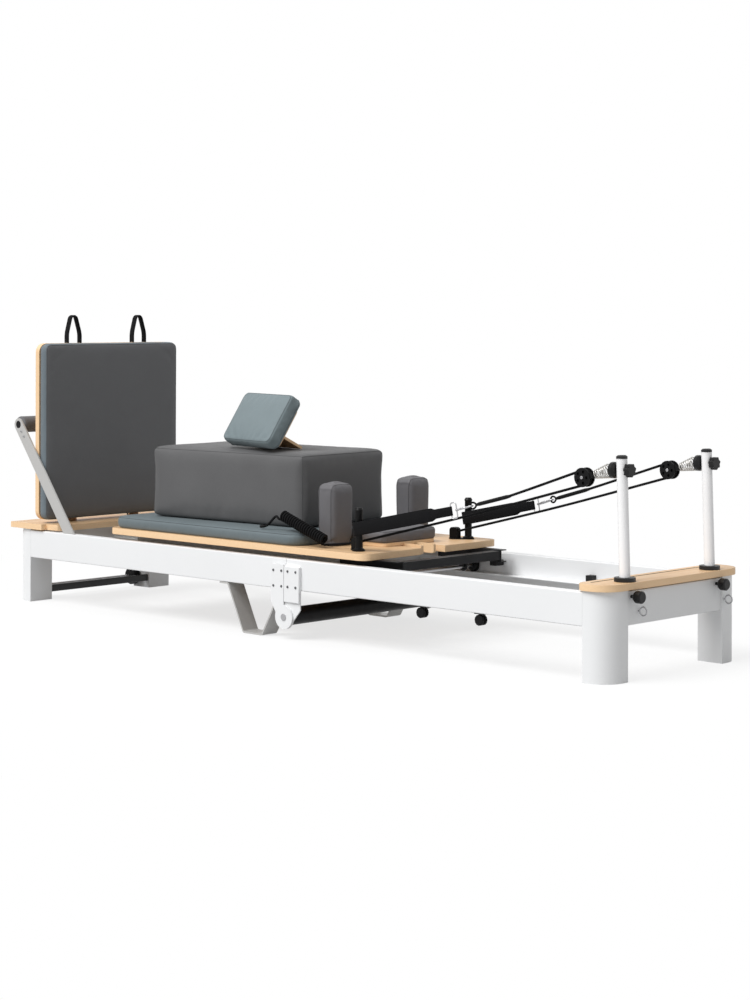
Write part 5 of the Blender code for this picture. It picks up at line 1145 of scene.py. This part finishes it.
LOOP_FOOT = 0.8153
LOOP_RISE = 0.088
LOOP_HALF = 0.026
LOOP_X = 0.092
LOOP_WIDTH = 0.011
LOOP_THICK = 0.0024
LOOP_OFFSETS = (-0.132, 0.140)
GRIP_START = 0.005 + 0.006 + CLEARANCE
GRIP_BORE = 0.016 + CLEARANCE
GRIP_ROUND = 0.006
GRIP_BEVEL = 0.0005
LEAF_SCREWS = (("foot", "foot_end", (1.189, 1.221)), ("pulley", "pulley_end", (1.246, 1.2775)))
LEAF_SCREW_HEIGHTS = (0.1925, 0.149)
LEAF_FACE = -0.0099
PLUG_PROFILE = [(0.0118, -0.003), (0.0118, 0.0006), (0.0110, 0.0012)]
BOLT_REACHES = (0.0262, 0.046)
PULLEY_FACE = 0.0114
GAP_SHADE_X = 2.2860
GAP_SHADE_ENDS = (0.030, 0.550)


def add_jump_loops():
    look = (webbing("loop_webbing", (radians(90), 0, radians(90))), "black_webbing")
    shoulder = LOOP_FOOT + LOOP_RISE * 0.35
    crest = LOOP_FOOT + LOOP_RISE
    outline = ((-1, LOOP_FOOT), (-1, shoulder), (-0.4, crest), (0.3, crest), (1, shoulder),
               (1, LOOP_FOOT))
    for side, offset in zip(SIDES, LOOP_OFFSETS):
        middle = MIDDLE + offset
        points = [Vector((middle + LOOP_HALF * share, height)) for share, height in outline]
        path = even(fillet_path(points, 0.012, 8), 0.0025)
        path = [bench(LOOP_X, point.x, point.y) for point in path]
        bm = ribbon(bmesh.new(), path, [LOOP_WIDTH] * len(path), LOOP_THICK, Vector((1, 0, 0)))
        loop = from_bmesh("carry_loop_" + side, bm, look, "foot_end")
        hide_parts("jump_board_loop_" + side)


def add_grip():
    length = WIDTH - 2 * GRIP_START
    shoulder = GRIP_RADIUS - GRIP_ROUND
    end = [(GRIP_BORE, GRIP_BEVEL), (shoulder, GRIP_BEVEL)]
    for turn in map(radians, (0, 25, 50, 75, 90)):
        end.append((shoulder + GRIP_ROUND * sin(turn), GRIP_BEVEL + GRIP_ROUND * (1 - cos(turn))))
    profile = list(end)
    for step in range(1, 60):
        share = step / 60
        wave = 0.00022 * noise.noise(Vector((share * 14, 0.3, 0.7)))
        profile.append((GRIP_RADIUS - 0.0003 + wave, 0.007 + (length - 0.014) * share))
    profile += [(radius, length - height) for radius, height in reversed(end)]
    place = along(bench(grip_x, GRIP_START, grip_z), (0, 1, 0))
    bm = turned(bmesh.new(), profile, place, 40, closed=True)
    grip = from_bmesh("grip_foam", bm, (foam("grip_foam", tone(122, 122, 124)), "foam"), "foot_bar")
    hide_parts("foot_bar_grip")


def add_screws(name, look, body, places, radius, height):
    """Low domed heads with round sockets."""
    head = [(radius, 0.0), (radius, height * 0.35), (radius * 0.9, height * 0.75)]
    head += [(radius * 0.62, height), (radius * 0.44, height), (radius * 0.40, height * 0.35)]
    bm = bmesh.new()
    for place in places:
        turned(bm, head, place, 18)
    from_bmesh(name, bm, look, body, sharp=True)


def add_fittings():
    arm = Vector((sin(FOOT_BAR_LEAN), 0, -cos(FOOT_BAR_LEAN)))
    for side in SIDES:
        out = Vector((0, 1, 0)) if side == "far" else Vector((0, -1, 0))
        for leaf, body, columns in LEAF_SCREWS:
            places = [along(bench(x, side_y(LEAF_FACE, side), z), out)
                      for x in columns for z in LEAF_SCREW_HEIGHTS]
            add_screws("hinge_screws_" + leaf + "_" + side, SCREW, body, places, 0.0038, 0.0019)
        hub = along(bench(grip_x, side_y(0.0062, side), grip_z), out)
        from_bmesh("grip_tube_plug_" + side, turned(bmesh.new(), PLUG_PROFILE, hub, 28), PLUG,
                   "foot_bar", sharp=True)
        places = [along(bench(grip_x, side_y(0.0049, side), grip_z) + arm * reach, out)
                  for reach in BOLT_REACHES]
        add_screws("foot_bar_bolts_" + side, FITTING, "foot_bar", places, 0.0042, 0.0022)
        y = side_y(RISER_Y, side)
        places = [along(bench(PULLEY_X, y + sign * PULLEY_FACE, PULLEY_Z), (0, sign, 0))
                  for sign in (-1, 1)]
        add_screws("pulley_axle_screws_" + side, FITTING, "pulley_end", places, 0.0046, 0.0024)

    # Painted shade: a thin black strip laid across the pulley platform, standing in for the shade
    # of a gap there.
    path = even([bench(GAP_SHADE_X, y, PLATFORM_TOP) for y in GAP_SHADE_ENDS], 0.010)
    bm = ribbon(bmesh.new(), path, [0.0019] * len(path), 0.0012, Vector((1, 0, 0)))
    from_bmesh("platform_gap_shade", bm, GAP_SHADE_LOOK, "pulley_end")


add_jump_loops()
add_grip()
add_fittings()


# Finishes of the frame's own solids

BLACK = tone(13, 13, 14)
STEEL = tone(176, 176, 178)
WHITE = tone(238, 239, 240)
SILVER = tone(190, 189, 187)
SMOOTH_LIMIT = radians(32)
WELD = 0.00001
BELOW = -0.01
AWAY = 3.0
PULLEY_END = 2.0


def row_x(x):
    return x - bench_x


def smooth_by_angle():
    """Node group that shades faces smooth except over edges sharper than the limit."""
    group = bpy.data.node_groups.new("smooth_by_angle", "GeometryNodeTree")
    for way in ("INPUT", "OUTPUT"):
        group.interface.new_socket("Geometry", in_out=way, socket_type="NodeSocketGeometry")
    nodes = Nodes(group)
    angle = nodes.add("GeometryNodeInputMeshEdgeAngle").outputs[0]
    gentle = nodes.add("ShaderNodeMath", {0: angle, 1: SMOOTH_LIMIT}, operation="LESS_THAN")
    source = nodes.add("NodeGroupInput").outputs[0]
    faces = nodes.add("GeometryNodeSetShadeSmooth", {"Geometry": source}).outputs[0]
    inputs = {"Geometry": faces, "Shade Smooth": gentle.outputs[0]}
    edges = nodes.add("GeometryNodeSetShadeSmooth", inputs, domain="EDGE").outputs[0]
    nodes.add("NodeGroupOutput", {0: edges})
    return group


shading = smooth_by_angle()


def dress(finish, *stems, width=0.0):
    """Finish, smooth shading and slightly rounded edges on solids of the frame.

    A stem that ends in an underscore stands for a near and a far solid.
    """
    for stem in stems:
        for name in [stem + side for side in SIDES] if stem.endswith("_") else [stem]:
            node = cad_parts[name]
            node.modifiers.new("weld", "WELD").merge_threshold = WELD
            if width:
                put(node.modifiers.new("bevel", "BEVEL"), width=width, segments=2,
                    limit_method="ANGLE", angle_limit=SHARP)
            node.modifiers.new("shading", "NODES").node_group = shading
            if width:
                node.modifiers.new("normals", "WEIGHTED_NORMAL").keep_sharp = True
            for material_slot in node.material_slots:
                material_slot.material = finish.material


def dress_metal():
    dress(painted("white_coat", WHITE), "foot_rail_", "hinge_leaf_pulley_", width=0.0007)

    finish = painted("foot_frame_coat", WHITE)
    half = MIDDLE - 0.0862
    kick_bar = finish.both(finish.within("Y", -half, half), finish.within("Z", BELOW, 0.100))
    dress(finish.patch(kick_bar, BLACK, 0.5), "foot_end_frame", width=0.0008)

    finish = painted("pulley_frame_coat", WHITE)
    half = MIDDLE - 0.090
    eye_rings = finish.both(finish.within("Y", -half, half),
                            finish.within("X", row_x(LENGTH - 0.0055), PULLEY_END))
    eye_rings = finish.either(eye_rings, finish.within("X", row_x(LENGTH + 0.0003), PULLEY_END))
    dress(finish.patch(eye_rings, STEEL, 0.28, 1.0), "pulley_end_frame", width=0.0006)

    finish = painted("pulley_rail_coat", WHITE)
    half = MIDDLE - 0.0302
    stops = finish.both(finish.within("X", row_x(1.8783), row_x(1.9010)),
                        finish.within("Y", -half, half))
    stops = finish.both(stops, finish.within("Z", 0.1652, 0.30))
    stops_and_forks = finish.either(stops, finish.within("Z", BELOW, 0.1398))
    dress(finish.patch(stops_and_forks, BLACK, 0.5), "pulley_rail_", width=0.0007)

    finish = painted("foot_leaf_coat", WHITE)
    outside = finish.off_middle(MIDDLE + 0.01005)
    dress(finish.patch(outside, STEEL, 0.28, 1.0), "hinge_leaf_foot_", width=0.0006)

    # Painted light: the risers get a lighter copy of the frame's white, for the brighter light that
    # falls on them.
    finish = painted("riser_coat", tone(250, 250, 251), 0.32)
    collars = finish.either(finish.within("Z", 0.0, 0.2585), finish.within("Z", 0.5552, 0.70))
    dress(finish.patch(collars, BLACK, 0.45), "riser_")

    silver = painted("silver_coat", SILVER, metallic=0.25)
    dress(silver, "foot_bar_frame", "mid_leg_", width=0.0006)

    finish = painted("carriage_frame_coat", tone(24, 24, 26), 0.46, 0.0, 0.18, 0.02)
    band = finish.both(finish.off_middle(0.19), finish.within("X", -AWAY, row_x(1.36)))
    dress(finish.patch(band, tone(200, 199, 197), 0.42), "carriage_frame", width=0.0006)


def dress_wood():
    across = (0, 0, radians(90))
    dress(plywood("carriage_ply"), "carriage_board", width=0.0012)
    dress(plywood("platform_ply", across), "foot_platform", "pulley_platform", width=0.0012)
    dress(plywood("headrest_ply", across), "headrest_board", width=0.0008)
    finish = plywood("jump_board_ply", (0, radians(90), 0))
    posts = finish.within("X", -AWAY, row_x(0.083 - 0.0002))
    dress(finish.patch(posts, BLACK, 0.45), "jump_board_panel", width=0.0012)
    for name, node, lift in (("pillow_ply", "pillow_board", PILLOW_LIFT),
                             ("prop_ply", "pillow_prop", PROP_LIFT)):
        back = (PILLOW_TURN @ lift).to_3x3().inverted()
        dress(plywood(name, tuple(back.to_euler()), *BROWN), node, width=0.0008)


def dress_plastic():
    black = moulded("cad_black_plastic")
    dress(black, "rope_post_", "pulley_block_", "sheave_", "hinge_cross_tube")
    dress(moulded("knob_plastic", 11, 0.30, 0.26, 0.25), "pulley_knob_", "clamp_knob_")
    dress(moulded("roller_rubber", 15, 0.6, 0.10, 0.7), "roller_inner_", "roller_outer_")
    wheels = ((moulded("wheel_plastic", 14, 0.5), 0.0425, 0.0082,
               ("carriage_wheels_foot", "carriage_wheels_pulley")),
              (moulded("transport_rubber", 18, 0.6, 0.10, 0.7), 0.1015, 0.0127,
               ("transport_wheelset",)))
    for finish, inset, half_tread, names in wheels:
        axle = finish.math("SUBTRACT", 1.0, finish.off_middle(MIDDLE - inset, half_tread))
        dress(finish.patch(axle, STEEL, 0.3, 1.0), *names)


dress_metal()
dress_wood()
dress_plastic()


# Floor, backdrop and lamps

FLOOR_REACH = 30.0
FLOOR_BOUNCE = 0.45
FLOOR_SHADED = 0.86
FLOOR_NEAR = 0.72
FLOOR_FADE = (0.6, 2.2)
SKY_LIGHT = 0.45
KEY_FROM = Vector((-0.16, -0.57, 0.80))
KEY_STRENGTH = 2.92
KEY_SIZE = radians(38.0)


def add_floor():
    bm = bmesh.new()
    corners = ((-1, -1), (1, -1), (1, 1), (-1, 1))
    bm.faces.new([bm.verts.new((x * FLOOR_REACH, y * FLOOR_REACH, 0.0)) for x, y in corners])
    mesh = bpy.data.meshes.new("floor")
    bm.to_mesh(mesh)
    bm.free()
    material = bpy.data.materials.new("pale_floor")
    material.use_nodes = True
    material.node_tree.nodes.clear()
    nodes = Nodes(material.node_tree)
    bounce, shaded = (nodes.add("ShaderNodeBsdfDiffuse", {"Color": (level, level, level, 1.0)})
                      for level in (FLOOR_BOUNCE, FLOOR_SHADED))
    white = nodes.add("ShaderNodeEmission")
    place = nodes.add("ShaderNodeTexCoord").outputs["Object"]
    distance = nodes.add("ShaderNodeVectorMath", {0: place}, operation="LENGTH").outputs["Value"]
    fade = nodes.spread(distance, FLOOR_NEAR, 1.0, *FLOOR_FADE, interpolation_type="SMOOTHSTEP")
    inputs = {0: fade, 1: shaded.outputs[0], 2: white.outputs[0]}
    shown = nodes.add("ShaderNodeMixShader", inputs).outputs[0]
    inputs = {0: nodes.seen_directly(), 1: bounce.outputs[0], 2: shown}
    final = nodes.add("ShaderNodeMixShader", inputs).outputs[0]
    nodes.add("ShaderNodeOutputMaterial", {"Surface": final})
    mesh.materials.append(material)
    new_object("floor", mesh)


def add_lights():
    world = bpy.data.worlds.new("backdrop")
    world.use_nodes = True
    nodes = Nodes(world.node_tree)
    background = nodes.tree.nodes["Background"]
    background.inputs["Color"].default_value = (1.0, 1.0, 1.0, 1.0)
    level = nodes.spread(nodes.seen_directly(), SKY_LIGHT, 1.0)
    nodes.feed(background.inputs["Strength"], level)
    scene.world = world
    key = put(bpy.data.lights.new("key", "SUN"), energy=KEY_STRENGTH, angle=KEY_SIZE)
    new_object("key", key).rotation_euler = KEY_FROM.to_track_quat("Z", "Y").to_euler()


add_floor()
add_lights()
scene.view_settings.view_transform = "Standard"
